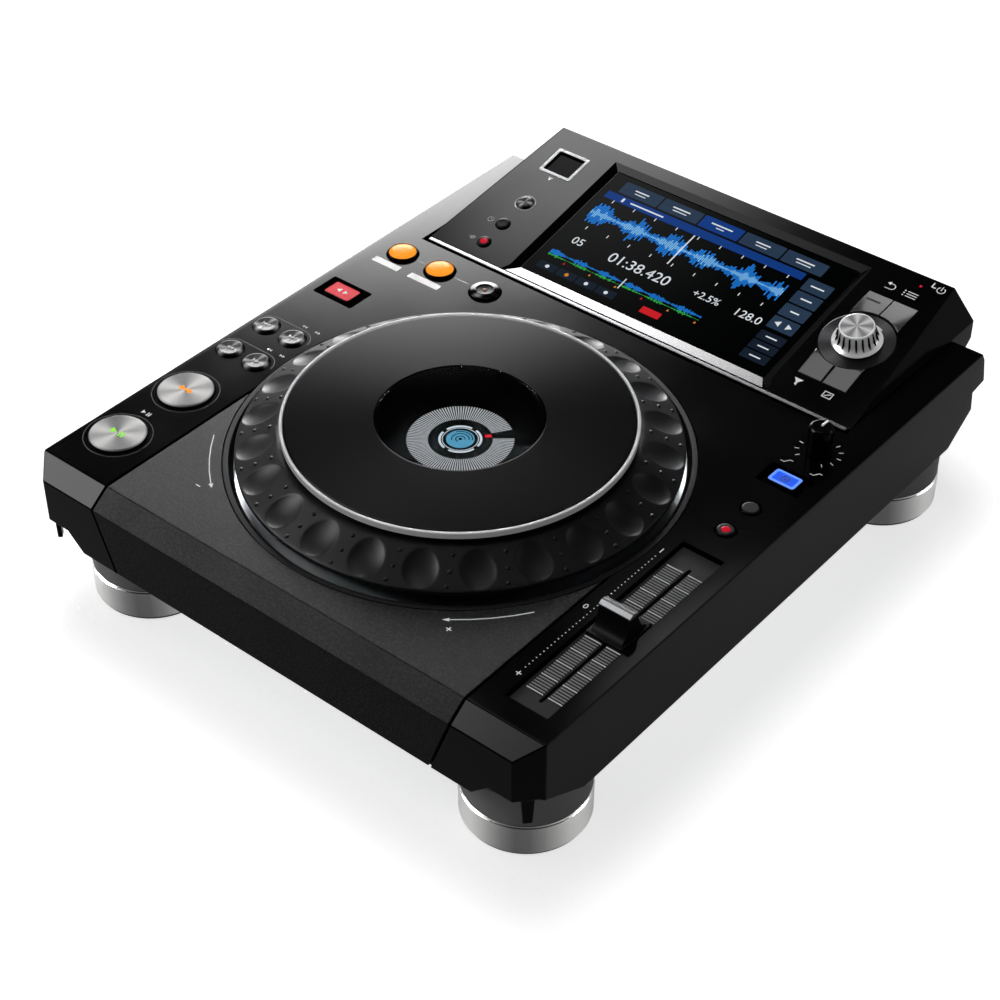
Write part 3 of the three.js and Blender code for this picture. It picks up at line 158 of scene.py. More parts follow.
@dataclass(frozen=True)
class Finish:
    """A named finish, which builds its material once."""

    name: str
    colour: str

    def material(self) -> bpy.types.Material:
        """Gives the material, built on the first call."""
        made = bpy.data.materials.get(self.name)
        if made is None:
            made = bpy.data.materials.new(self.name)
            made.use_nodes = True
            self.wire(made.node_tree, made.node_tree.nodes["Principled BSDF"])
        return made

    def wire(self, tree: bpy.types.NodeTree, shader: bpy.types.Node) -> None:
        """Wires the look into the shader."""
        raise NotImplementedError

    @staticmethod
    def spots(tree: bpy.types.NodeTree, size: float, detail: float = 2.0) -> bpy.types.NodeSocket:
        """Random pattern fixed to the object, with spots of a size in millimetres."""
        place = add_node(tree, "ShaderNodeTexCoord").outputs["Object"]
        inputs = {"Vector": place, "Scale": 1 / (size * MM), "Detail": detail}
        return add_node(tree, "ShaderNodeTexNoise", inputs).outputs["Fac"]

    def surface(
        self, tree: bpy.types.NodeTree, height: bpy.types.NodeSocket, depth: float, gloss: bpy.types.NodeSocket,
        share: float, span: tuple[float, float] = (0.0, 1.0),
    ) -> dict:
        """Raises the surface by one pattern and varies its gloss by another.

        Args:
            tree: the material's tree.
            height: pattern of the bumps.
            depth: millimetres from their foot to their top.
            gloss: pattern of the gloss.
            share: how much of its roughness comes and goes.
            span: lowest and highest value of that pattern.

        Returns:
            The shader's inputs for both.
        """
        bump = add_node(tree, "ShaderNodeBump", {"Height": height, "Distance": depth * MM, "Strength": 1.0})
        low, high = self.roughness * (1 - share), self.roughness * (1 + share)
        inputs = {"Value": gloss, "From Min": span[0], "From Max": span[1], "To Min": low, "To Max": high}
        varied = add_node(tree, "ShaderNodeMapRange", inputs)
        return {"Normal": bump.outputs["Normal"], "Roughness": varied.outputs["Result"]}


@dataclass(frozen=True)
class Plastic(Finish):
    """Moulded plastic, ink or rubber: a fine grain and patches of slightly other gloss."""

    roughness: float
    grain: float = 0.6  # mm between bumps
    grain_depth: float = 0.01  # mm
    speckle: str | None = None  # colour of the grain's tops
    specular: float = 0.5
    patch: float = 40.0  # mm across a patch of other gloss
    patch_share: float = 0.15

    def wire(self, tree: bpy.types.NodeTree, shader: bpy.types.Node) -> None:
        """Wires the grain, the patches and the speckles."""
        grain = self.spots(tree, self.grain)
        patches = self.spots(tree, self.patch, 3.0)
        colour = linear(self.colour)
        if self.speckle:
            stops = ((0.42, colour), (0.72, linear(self.speckle)))
            colour = add_node(tree, "ShaderNodeValToRGB", {"Fac": grain}, stops).outputs["Color"]
        surface = self.surface(tree, grain, self.grain_depth, patches, self.patch_share, (0.3, 0.7))
        feed(tree, shader, {"Base Color": colour, "Specular IOR Level": self.specular, **surface})


@dataclass(frozen=True)
class TurnedMetal(Finish):
    """Metal turned on a lathe: fine rings, and a fan of highlights painted into the colour round the axis."""

    roughness: float
    spread: float = 0.0  # anisotropy
    groove: float = 0.25  # mm between tool marks
    groove_depth: float = 0.002  # mm
    metallic: float = 1.0  # 0 for a diffuse surface, such as the turnings whose highlights are painted into the colour
    specular: float = 0.5
    dark: str = "#000000"  # colour between the painted highlight wedges
    painted_fan: tuple[float, ...] = ()  # degrees from +x of each bright wedge, a painted highlight in the colour
    wedge: float = 8.0  # how narrow a wedge is

    def painted_fan_share(self, turn: float) -> float:
        """Brightness of the painted highlight fan at a turn in degrees, from 0 between the wedges to 1."""
        return max(max(0.0, math.cos(math.radians(turn - way))) ** self.wedge for way in self.painted_fan)

    def wire(self, tree: bpy.types.NodeTree, shader: bpy.types.Node) -> None:
        """Wires the rings and the painted fan of highlights, by the place round the axis and along the outline."""
        unwrapped = add_node(tree, "ShaderNodeUVMap", uv_map="UVMap").outputs["UV"]
        parts = add_node(tree, "ShaderNodeSeparateXYZ", {"Vector": unwrapped}).outputs
        inputs = {"W": parts["Y"], "Scale": 1 / (self.groove * MM), "Detail": 2.0}
        marks = add_node(tree, "ShaderNodeTexNoise", inputs, noise_dimensions="1D").outputs["Fac"]
        colour = linear(self.colour)
        # Painted highlights: bright wedges blended into the base colour by the turn round the axis
        if self.painted_fan:
            shares = [self.painted_fan_share(i / 30 * 360) for i in range(31)]
            pairs = list(zip(linear(self.dark), colour))
            stops = [(i / 30, [d + (c - d) * share for d, c in pairs]) for i, share in enumerate(shares)]
            colour = add_node(tree, "ShaderNodeValToRGB", {"Fac": parts["X"]}, stops).outputs["Color"]
        tangent = add_node(tree, "ShaderNodeTangent", direction_type="UV_MAP", uv_map="UVMap")
        turning = {"Anisotropic": self.spread, "Anisotropic Rotation": 0.25, "Tangent": tangent.outputs["Tangent"]}
        gloss = {"Metallic": self.metallic, "Specular IOR Level": self.specular}
        surface = self.surface(tree, marks, self.groove_depth, marks, 0.2)
        feed(tree, shader, {"Base Color": colour, **gloss, **turning, **surface})


@dataclass(frozen=True)
class PlainMetal(Finish):
    """Rolled, plated or cast metal with a fine random grain."""

    roughness: float
    grain: float = 1.2  # mm
    grain_depth: float = 0.004  # mm

    def wire(self, tree: bpy.types.NodeTree, shader: bpy.types.Node) -> None:
        """Wires the grain."""
        grain = self.spots(tree, self.grain, 3.0)
        surface = self.surface(tree, grain, self.grain_depth, grain, 0.3)
        feed(tree, shader, {"Base Color": linear(self.colour), "Metallic": 1.0, **surface})


@dataclass(frozen=True)
class Lit(Finish):
    """Translucent plastic or a screen pixel with a lamp behind it, under a clear skin."""

    glow: str
    strength: float = 1.0
    roughness: float = 0.2
    mottle: float = 3.0  # mm across the soft spots of the lamp behind
    specular: float = 0.012

    def wire(self, tree: bpy.types.NodeTree, shader: bpy.types.Node) -> None:
        """Wires the glow, a little weaker in soft spots."""
        glow = linear(self.glow)
        stops = ((0.25, [0.85 * c for c in glow[:3]] + [1.0]), (0.75, glow))
        ramp = add_node(tree, "ShaderNodeValToRGB", {"Fac": self.spots(tree, self.mottle, 1.0)}, stops)
        feed(tree, shader, {"Emission Color": ramp.outputs["Color"], "Emission Strength": self.strength})
        skin = {"Roughness": self.roughness, "Specular IOR Level": self.specular}
        feed(tree, shader, {"Base Color": linear(self.colour), **skin})


@dataclass(frozen=True)
class ClearLens(Finish):
    """Clear acrylic lens with a bloomed surface, which takes nearly all of its reflection."""

    def wire(self, tree: bpy.types.NodeTree, shader: bpy.types.Node) -> None:
        """Wires a trace of haze into the clear body."""
        haze = self.spots(tree, 1000 / 60)
        gloss = add_node(tree, "ShaderNodeMapRange", {"Value": haze, "To Min": 0.0, "To Max": 0.004})
        glass = {"Base Color": linear(self.colour), "Transmission Weight": 1.0, "IOR": 1.08}
        feed(tree, shader, {"Roughness": gloss.outputs["Result"], **glass})


# Chrome of the browse knob's body drawn as a bright white diffuse colour: a painted reflection, bright even where its
# walls would mirror the dark plate
KNOB_PAINTED_SHINE = Plastic("knob_painted_chrome_shine", "#fafafb", 0.2, grain=1.0, grain_depth=0.001)
# Polished ABS: a near mirror over black, as on a piano lid
PIANO_ABS = Plastic("piano_black_abs", "#040405", 0.1, grain=3.0, grain_depth=0.002, specular=0.02)
# Spark-eroded mould: an even charcoal grain that scatters light; grit drawn at 1.1 mm so that it shows
SPARK_ABS = Plastic(
    "spark_textured_abs", "#060607", 0.42, grain=1.1, grain_depth=0.09, speckle="#232324", specular=0.016,
    patch_share=0.08,
)
# Fine matt mould of the wheel's rim: dark grey with a soft sheen
MATT_ABS = Plastic(
    "matt_moulded_abs", "#0e0e0f", 0.42, grain=0.7, grain_depth=0.012, speckle="#141415", specular=0.038
)
# Satin mould of knobs and plates: a soft highlight over black
SATIN_ABS = Plastic("satin_abs", "#0b0b0c", 0.32, grain=0.8, grain_depth=0.006, specular=0.012)
# Smoked keys round the browse knob: dark grey, smooth enough to mirror the window
KEY_ABS = Plastic("smoked_key_abs", "#303031", 0.12, grain=2.0, grain_depth=0.002, specular=0.17)
# Slider plate and its ribs: flat greys without a highlight
SCALE_ABS = Plastic("grey_scale_plate_abs", "#2c2c2d", 0.5, specular=0.01)
RIB_ABS = Plastic("grey_rib_abs", "#8a8a8c", 0.45, specular=0.01)
# Ridge of the slider's cap: a dull silver with a fine grain
RIDGE_ABS = Plastic("silver_ridge_abs", "#4a4a4b", 0.3, grain_depth=0.004, specular=0.1)
# Plain moulded grey of sockets and switches
SOCKET_ABS = Plastic("socket_grey_abs", "#3a3a3b", 0.5)
# Rubber of the feet: dull black that swallows highlights
FOOT_RUBBER = Plastic("foot_rubber", "#0a0a0b", 0.6, grain=0.7, grain_depth=0.02, specular=0.06)
# Screen-printed inks: even, dull and opaque
WHITE_INK = Plastic("white_screen_print", "#f2f2f2", 0.5, grain=0.3, grain_depth=0.002, specular=0.1)
GREY_INK = Plastic("grey_screen_print", "#a4a4a5", 0.5, grain=0.3, grain_depth=0.002, specular=0.1)
BLACK_INK = Plastic("black_screen_print", "#040404", 0.4, grain=0.3, grain_depth=0.002, specular=0.02)
# White frame of the stick slot: a clean moulded white with a light sheen
WHITE_FRAME = Plastic("white_moulded_frame", "#d4d6d8", 0.3, grain=1.0, grain_depth=0.003, specular=0.2)
# Cover glass over black: as good as no reflection, so that the picture stays dark between its tiles
LENS_BLACK = Plastic("dark_cover_glass", "#030404", 0.08, grain=4.0, grain_depth=0.001, specular=0.002)
# Circuit board under green solder mask, raised over its tracks
BOARD = Plastic("solder_masked_board", "#1f4a32", 0.45, grain=2.5, grain_depth=0.03, speckle="#2b6444")
# Coloured rings round the jacks
RED_RING = Plastic("red_jack_ring", "#b01c20", 0.4)
AMBER_RING = Plastic("orange_jack_ring", "#c96a1a", 0.4)
# Black anodised plate of the wheel: its fine rings stretch the window's glint into one wide fan
TOP_PLATE = TurnedMetal(
    "black_anodised_plate", "#030304", 0.12, spread=0.5, groove=0.35, groove_depth=0.0002, metallic=0.0, specular=0.022
)
# Turned and anodised aluminium: fine rings, with fan-shaped highlights painted into the colour
DISC_ALUMINIUM = TurnedMetal(
    "turned_disc_painted_fan", "#e4e4e2", 0.34, metallic=0.0, specular=0.03, groove=0.3, dark="#6a6a6a",
    painted_fan=(21, 85, 201, 265),
)
# Knob top: six narrow wedges painted in as a star of highlights
TOP_ALUMINIUM = TurnedMetal(
    "knob_top_painted_star", "#e6e6e7", 0.34, metallic=0.0, specular=0.03, groove=0.5, dark="#7c7c7d",
    painted_fan=(0, 60, 120, 180, 240, 300), wedge=24,
)
# Foot rings: real metal reflection, plus bright wedges and dark bands painted into the colour as painted reflection of
# the floor and of the object's shadow on it
FOOT_ALUMINIUM = TurnedMetal(
    "foot_ring_aluminium_painted_bands", "#f8f8f6", 0.24, spread=0.5, groove=0.4, dark="#5c5c5e", painted_fan=(247, 2, 120), wedge=6
)
# Black anodised turnings: nearly black, with narrow pale wedges painted in as highlights
DARK_SPUN = TurnedMetal(
    "black_turned_painted_wedges", "#b4b4b6", 0.22, metallic=0.0, specular=0.02, groove=0.35, dark="#0a0a0b",
    painted_fan=(88, 212, 262, 8), wedge=40,
)
# Smoked skirt under the browse knob: dark grey, with grey wedges painted in as highlights
SKIRT_SPUN = TurnedMetal(
    "smoked_skirt_painted_wedges", "#5c5c5e", 0.28, metallic=0.0, specular=0.02, groove=0.5, dark="#141415",
    painted_fan=(70, 193, 250), wedge=16,
)
# Ring round the wheel's top: an even satin white
RING_METAL = TurnedMetal("satin_wheel_ring", "#e0e0e0", 0.3, metallic=0.0, specular=0.03, groove=0.3)
# Sheet and bar metals: dark brushed steel, dull zinc and warm nickel; the silver trim is painted near black, as painted
# shade
BAR_METAL = PlainMetal("brushed_bar_steel", "#2a2a2b", 0.2)
ZINC = PlainMetal("zinc_plated_steel", "#9c9fa2", 0.4, grain=6.0)
PIN_METAL = PlainMetal("nickel_plate", "#b9b7b0", 0.3)
TRIM_METAL = PlainMetal("silver_trim_painted_dark", "#111112", 0.25)
# Lamps behind tinted plastic: a soft, slightly mottled glow
AMBER_LAMP = Lit("lit_amber_plastic", "#e07a18", "#ff9a2e", 0.75)
# Reloop's bead is not lit; its faint glow is a painted amber glint
AMBER_PAINTED_GLINT = Lit("amber_bead_painted_glint", "#4a3222", "#9a6a44", 0.35)
RED_LAMP = Lit("lit_red_plastic", "#8c0c18", "#e81430", 0.5)
RED_BRIGHT = Lit("lit_red_lens", "#8c1420", "#d81c34", 0.55)
BLUE_LAMP = Lit("lit_blue_plastic", "#3a66c8", "#6c98ff", 0.95)
BLUE_BRIGHT = Lit("lit_blue_lens", "#1c44a8", "#2c5cf0", 0.8)
GREEN_LAMP = Lit("lit_green_plastic", "#5a9a20", "#8ee04a", 0.9)
# Display under the wheel's window, brighter to make up for the smoked lens over it
DISPLAY_GREY = Lit("jog_display_grey", "#202224", "#b8b8b8", 2.4)
DISPLAY_WHITE = Lit("jog_display_white", "#303234", "#dfe6ea", 2.2)
DISPLAY_BLUE = Lit("jog_display_blue", "#10303c", "#5fa8c8", 2.0)
DISPLAY_RED = Lit("jog_display_red", "#40080c", "#e02430", 2.4)
# Smoked window of the wheel: takes a third of the light and mirrors next to nothing
CLEAR = ClearLens("smoked_acrylic_lens", "#a9adb1")


def screen_ink(name: str, colour: str) -> Lit:
    """A colour of the screen picture, shown through glossy cover glass."""
    return Lit(f"screen_{name}", "#030405", colour, 0.9, roughness=0.08, mottle=14.0, specular=0.001)


SLATE = screen_ink("slate", "#2b3c52")
SLATE_DARK = screen_ink("slate_dark", "#17212e")
SCREEN_BLUE = screen_ink("blue", "#123c86")
WAVE_BLUE = screen_ink("wave_blue", "#1f7fe0")
WAVE_PALE = screen_ink("wave_pale", "#7fc4ff")
SCREEN_WHITE = screen_ink("white", "#e8eef4")
SCREEN_RED = screen_ink("red", "#d02028")
SCREEN_GREEN = screen_ink("green", "#35b64c")
SCREEN_ORANGE = screen_ink("orange", "#e08a28")
SCREEN_BLACK = screen_ink("black", "#020304")


def soften(outline: Outline, steps: int = 4) -> Points:
    """Rounds the corners of an outline.

    Args:
        outline: points, each with an optional third number, how far from the corner its arc starts.
        steps: spans in each arc.

    Returns:
        The rounded points.
    """
    made: Points = []
    count = len(outline)
    for i, point in enumerate(outline):
        reach = point[2] if len(point) > 2 else 0.0
        here = Vector(point[:2])
        if not reach:
            made.append((here.x, here.y))
            continue
        before = Vector(outline[i - 1][:2]) - here
        after = Vector(outline[(i + 1) % count][:2]) - here
        start = here + before.normalized() * min(reach, before.length / 2)
        end = here + after.normalized() * min(reach, after.length / 2)
        for k in range(steps + 1):
            t = k / steps
            spot = start * (1 - t) ** 2 + here * 2 * t * (1 - t) + end * t**2
            made.append((spot.x, spot.y))
    return made


def signed_area(outline: Outline) -> float:
    """Area of an outline, above 0 where it runs anticlockwise."""
    count = len(outline)
    return 0.5 * sum(
        outline[i][0] * outline[(i + 1) % count][1] - outline[(i + 1) % count][0] * outline[i][1]
        for i in range(count)
    )


def anticlockwise(outline: Outline) -> list:
    """An outline that runs anticlockwise, turned round where it has to be."""
    return list(outline) if signed_area(outline) > 0 else list(reversed(outline))


def spin(degrees: float, axis: str = "Z") -> Matrix:
    """Rotation by degrees about an axis."""
    return Matrix.Rotation(math.radians(degrees), 4, axis)


def circle(radius: float, count: int, x: float = 0.0, y: float = 0.0) -> Points:
    """Points round a circle."""
    turns = [TAU * i / count for i in range(count)]
    return [(x + radius * math.cos(turn), y + radius * math.sin(turn)) for turn in turns]


def ellipse(x: float, y: float, rx: float, ry: float) -> Points:
    """Points round an ellipse."""
    return [(x + rx * px, y + ry * py) for px, py in circle(1.0, 20)]


def rectangle(
    x: float, y: float, width: float, length: float, corner: float = 0.0, steps: int = 4
) -> Points:
    """Rectangle about its middle, with rounded corners where corner is above 0."""
    hx, hy = width / 2, length / 2
    points = [(x + sx * hx, y + sy * hy, corner) for sx, sy in ((-1, -1), (1, -1), (1, 1), (-1, 1))]
    return soften(points, steps)


class Solid:
    """A mesh in millimetres that grows shape by shape in its own frame."""

    def __init__(self) -> None:
        """Starts with nothing."""
        self.points: list[tuple[float, float, float]] = []
        self.faces: list[list[int]] = []
        self.unwrap: list[Points] = []

    def face(self, corners: list[int], places: Points | None = None) -> None:
        """Adds one face with its place on the unwrapped surface."""
        self.faces.append(corners)
        self.unwrap.append(places or [(self.points[c][0] * MM, self.points[c][1] * MM) for c in corners])

    def lathe(self, outline: Outline, facets: int = 96, x: float = 0.0, y: float = 0.0) -> Solid:
        """Turns a closed outline of radius and height about an upright axis.

        Args:
            outline: points of radius and height; points with radius 0 lie on the axis.
            facets: sides of the turned shape.
            x: the axis's place.
            y: the axis's place.

        Returns:
            This solid.
        """
        path = anticlockwise(outline)
        on_axis = [i for i, p in enumerate(path) if p[0] < 1e-6]
        if on_axis:
            first = next(i for i in on_axis if path[i - 1][0] < 1e-6)
            path = path[first:] + path[:first]
        closed = not on_axis
        travelled = [0.0]
        for a, b in zip(path, path[1:] + path[:1]):
            travelled.append(travelled[-1] + math.dist(a[:2], b[:2]) * MM)
        rings: list[list[int]] = []
        for radius, height in (p[:2] for p in path):
            start = len(self.points)
            if radius < 1e-6:
                self.points.append((x, y, height))
                rings.append([start])
                continue
            self.points.extend((px, py, height) for px, py in circle(radius, facets, x, y))
            rings.append(list(range(start, start + facets)))
        spans = len(path) if closed else len(path) - 1
        for j in range(spans):
            low, high = rings[j], rings[(j + 1) % len(rings)]
            v0, v1 = travelled[j], travelled[j + 1]
            for i in range(facets):
                k = (i + 1) % facets
                u0, u1 = i / facets, (i + 1) / facets
                if len(low) == 1 and len(high) == 1:
                    continue
                if len(low) == 1:
                    self.face([low[0], high[k], high[i]], [((u0 + u1) / 2, v0), (u1, v1), (u0, v1)])
                elif len(high) == 1:
                    self.face([low[i], low[k], high[0]], [(u0, v0), (u1, v0), ((u0 + u1) / 2, v1)])
                else:
                    self.face([low[i], low[k], high[k], high[i]], [(u0, v0), (u1, v0), (u1, v1), (u0, v1)])
        return self

    def loft(self, rings: Sequence[Sequence[Sequence[float]]], loop: bool = False) -> Solid:
        """Joins rings of as many points each into a closed skin.

        Args:
            rings: rings of points from below upwards, anticlockwise seen from above.
            loop: whether the last ring joins the first, as in a frame with a hole.

        Returns:
            This solid.
        """
        count = len(rings[0])
        start = len(self.points)
        for ring in rings:
            self.points.extend((p[0], p[1], p[2]) for p in ring)
        spans = len(rings) if loop else len(rings) - 1
        for j in range(spans):
            low, high = start + j * count, start + (j + 1) % len(rings) * count
            for i in range(count):
                k = (i + 1) % count
                self.face([low + i, low + k, high + k, high + i])
        if not loop:
            self.face([start + i for i in reversed(range(count))])
            self.face([start + (len(rings) - 1) * count + i for i in range(count)])
        return self

    def plate(self, outline: Outline, low: float, high: float) -> Solid:
        """Upright prism on an outline."""
        path = anticlockwise(outline)
        return self.loft([[(p[0], p[1], z) for p in path] for z in (low, high)])

    def cushion(
        self, x: float, y: float, width: float, length: float, low: float, high: float, corner: float, edge: float
    ) -> Solid:
        """Slab with rounded corners and a rounded top edge.

        Args:
            x: middle of the slab.
            y: middle of the slab.
            width: size along x.
            length: size along y.
            low: height of its underside.
            high: height of its top.
            corner: reach of its upright corners.
            edge: reach of its top edge.

        Returns:
            This solid.
        """
        steps = 4
        rings = [[(*p, low) for p in rectangle(x, y, width, length, corner)]]
        for k in range(steps + 1):
            turn = k / steps * math.pi / 2
            inset = edge * (1 - math.cos(turn))
            height = high - edge * (1 - math.sin(turn))
            inner = rectangle(x, y, width - 2 * inset, length - 2 * inset, max(corner - inset, 0.02))
            rings.append([(*p, height) for p in inner])
        return self.loft(rings)

    def frame(self, outer: Outline, inner: Outline, low: float, high: float) -> Solid:
        """Flat frame between two outlines of as many points."""
        rings = [(outer, low), (outer, high), (inner, high), (inner, low)]
        return self.loft([[(p[0], p[1], z) for p in ring] for ring, z in rings], loop=True)

    def stroke(self, path: Outline, width: float, low: float = PRINT[0], high: float = PRINT[1]) -> Solid:
        """Flat line of one width along an open path."""
        left, right = [], []
        for i, point in enumerate(path):
            before = Vector(path[max(i - 1, 0)][:2])
            after = Vector(path[min(i + 1, len(path) - 1)][:2])
            run = (after - before).normalized()
            side = Vector((-run.y, run.x)) * width / 2
            left.append((point[0] + side.x, point[1] + side.y))
            right.append((point[0] - side.x, point[1] - side.y))
        return self.plate(right + left[::-1], low, high)

    def arc(
        self, radius: float, start: float, end: float, width: float, x: float = 0.0, y: float = 0.0,
        low: float = PRINT[0], high: float = PRINT[1],
    ) -> Solid:
        """Flat line along a circle, between two angles in degrees."""
        count = max(4, int(abs(end - start) / 4))
        angles = [math.radians(start + (end - start) * i / count) for i in range(count + 1)]
        path = [(x + radius * math.cos(a), y + radius * math.sin(a)) for a in angles]
        return self.stroke(path, width, low, high)

    def hull(self, corners: Iterable[Sequence[float]]) -> Solid:
        """Convex skin round corners."""
        shape = bmesh.new()
        for corner in corners:
            shape.verts.new(corner)
        bmesh.ops.convex_hull(shape, input=shape.verts)
        bmesh.ops.delete(shape, geom=[v for v in shape.verts if not v.link_faces], context="VERTS")
        bmesh.ops.dissolve_limit(shape, angle_limit=math.radians(0.5), verts=shape.verts, edges=shape.edges)
        bmesh.ops.recalc_face_normals(shape, faces=shape.faces)
        start = len(self.points)
        shape.verts.index_update()
        self.points.extend(tuple(v.co) for v in shape.verts)
        for face in shape.faces:
            self.face([start + v.index for v in face.verts])
        shape.free()
        return self

    def along(self, outline: Outline, axis: str, low: float, high: float) -> Solid:
        """Prism along x from points (y, z), or along y from points (x, z)."""
        path = anticlockwise(outline)
        start = len(self.points)
        other = Solid().plate(path, low, high)
        turned = [(p[2], p[0], p[1]) if axis == "x" else (p[0], p[2], p[1]) for p in other.points]
        self.points.extend(turned)
        for face in other.faces:
            corners = face if axis == "x" else list(reversed(face))
            self.face([start + c for c in corners])
        return self

    def box(self, low: Sequence[float], high: Sequence[float]) -> Solid:
        """Upright box between two corners."""
        outline = [(low[0], low[1]), (high[0], low[1]), (high[0], high[1]), (low[0], high[1])]
        return self.plate(outline, low[2], high[2])

    def piece(self, name: str, place: Matrix) -> bpy.types.Object:
        """Makes the object, moved to its place in the part's frame.

        Args:
            name: the object's name.
            place: from this solid's millimetres to the part's metres.

        Returns:
            The object.
        """
        made = bpy.data.meshes.new(name)
        made.from_pydata(self.points, [], self.faces)
        layer = made.uv_layers.new(name="UVMap")
        layer.data.foreach_set("uv", [v for face in self.unwrap for spot in face for v in spot])
        made.transform(place)
        made.update()
        return linked(name, made)


def linked(name: str, data: bpy.types.ID) -> bpy.types.Object:
    """Puts a mesh, text, lamp or camera into the scene as an object."""
    made = bpy.data.objects.new(name, data)
    bpy.context.scene.collection.objects.link(made)
    return made


def settled(piece: bpy.types.Object) -> bpy.types.Object:
    """Turns an object with its modifiers into a plain mesh."""
    bpy.context.view_layer.update()
    graph = bpy.context.evaluated_depsgraph_get()
    shape = piece.evaluated_get(graph)
    mesh = bpy.data.meshes.new_from_object(shape, preserve_all_data_layers=True, depsgraph=graph)
    piece.modifiers.clear()
    piece.data = mesh
    return piece


def rounded(piece: bpy.types.Object, width: float, segments: int = 3, angle: float = 25.0) -> bpy.types.Object:
    """Rounds the edges of an object that are sharper than an angle in degrees; width is in millimetres."""
    bevel = piece.modifiers.new("round", "BEVEL")
    bevel.width = width * MM
    bevel.segments = segments
    bevel.limit_method = "ANGLE"
    bevel.angle_limit = math.radians(angle)
    return settled(piece)


def combined(piece: bpy.types.Object, tool: bpy.types.Object, operation: str) -> bpy.types.Object:
    """Joins to, or cuts from, an object another one, which is used up."""
    change = piece.modifiers.new("solid", "BOOLEAN")
    change.operation = operation
    change.solver = "EXACT"
    change.object = tool
    settled(piece)
    bpy.data.objects.remove(tool)
    return piece


def split_faces(mesh: bpy.types.Mesh) -> None:
    """Splits faces of many corners into triangles, which every renderer fills alike."""
    shape = bmesh.new()
    shape.from_mesh(mesh)
    large = [face for face in shape.faces if len(face.verts) > 6]
    bmesh.ops.triangulate(shape, faces=large, quad_method="BEAUTY", ngon_method="BEAUTY")
    shape.to_mesh(mesh)
    shape.free()


def shaded(piece: bpy.types.Object, angle: float = 34.0) -> bpy.types.Object:
    """Shades an object smooth up to an angle in degrees, with flat faces kept flat."""
    split_faces(piece.data)
    mesh = piece.data
    mesh.polygons.foreach_set("use_smooth", [True] * len(mesh.polygons))
    mesh.set_sharp_from_angle(angle=math.radians(angle))
    weighted = piece.modifiers.new("flat", "WEIGHTED_NORMAL")
    weighted.keep_sharp = True
    return settled(piece)


class Copies(Enum):
    """Ways to repeat a shape."""

    RING = "ring"
    ROW = "row"


def copies_tree(way: Copies, material: bpy.types.Material, seed: int) -> bpy.types.NodeTree:
    """Geometry Nodes tree that repeats the object's own mesh.

    Args:
        way: round the axis at the origin, or along a step.
        material: what the copies are made of.
        seed: picks the random heights of a row.

    Returns:
        The tree, with inputs Geometry, Count, Turn, Step, Low and Swell.
    """
    tree = bpy.data.node_groups.new(f"{way.value}_of_copies", "GeometryNodeTree")
    kinds = {
        "Geometry": "Geometry", "Count": "Int", "Turn": "Float", "Step": "Vector", "Low": "Float", "Swell": "Float",
    }
    for name, kind in kinds.items():
        tree.interface.new_socket(name, in_out="INPUT", socket_type=f"NodeSocket{kind}")
    tree.interface.new_socket("Geometry", in_out="OUTPUT", socket_type="NodeSocketGeometry")
    given = add_node(tree, "NodeGroupInput").outputs
    number = add_node(tree, "GeometryNodeInputIndex").outputs[0]
    shift = add_node(tree, "ShaderNodeVectorMath", {0: given["Step"], "Scale": number}, operation="SCALE")
    spots = add_node(tree, "GeometryNodePoints", {"Count": given["Count"], "Position": shift.outputs[0]})
    angle = add_node(tree, "ShaderNodeMath", {0: given["Turn"], 1: number}, operation="MULTIPLY")
    euler = add_node(tree, "ShaderNodeCombineXYZ", {"Z": angle.outputs[0]})
    turned = add_node(tree, "FunctionNodeEulerToRotation", {0: euler.outputs[0]})
    inputs = {"Points": spots.outputs[0], "Instance": given["Geometry"], "Rotation": turned.outputs[0]}
    if way is Copies.ROW:
        low = given["Low"]
        wave = add_node(tree, "ShaderNodeMath", {0: number, 1: given["Swell"]}, operation="MULTIPLY")
        swell = add_node(tree, "ShaderNodeMath", {0: wave.outputs[0]}, operation="SINE")
        share = add_node(tree, "ShaderNodeMapRange", {"Value": swell.outputs[0], "From Min": -1.0, "To Min": low})
        limits = {"Min": low, "Max": 1.0, "Seed": seed}
        chance = add_node(tree, "FunctionNodeRandomValue", limits, data_type="FLOAT")
        height = add_node(tree, "ShaderNodeMath", {0: share.outputs[0], 1: chance.outputs[1]}, operation="MULTIPLY")
        size = add_node(tree, "ShaderNodeCombineXYZ", {"X": 1.0, "Y": height.outputs[0], "Z": 1.0})
        inputs["Scale"] = size.outputs[0]
    placed = add_node(tree, "GeometryNodeInstanceOnPoints", inputs)
    real = add_node(tree, "GeometryNodeRealizeInstances", {0: placed.outputs[0]})
    merged = add_node(tree, "GeometryNodeMergeByDistance", {"Geometry": real.outputs[0], "Distance": 0.002})
    painted = add_node(tree, "GeometryNodeSetMaterial", {"Geometry": merged.outputs[0], "Material": material})
    add_node(tree, "NodeGroupOutput", {0: painted.outputs[0]})
    return tree


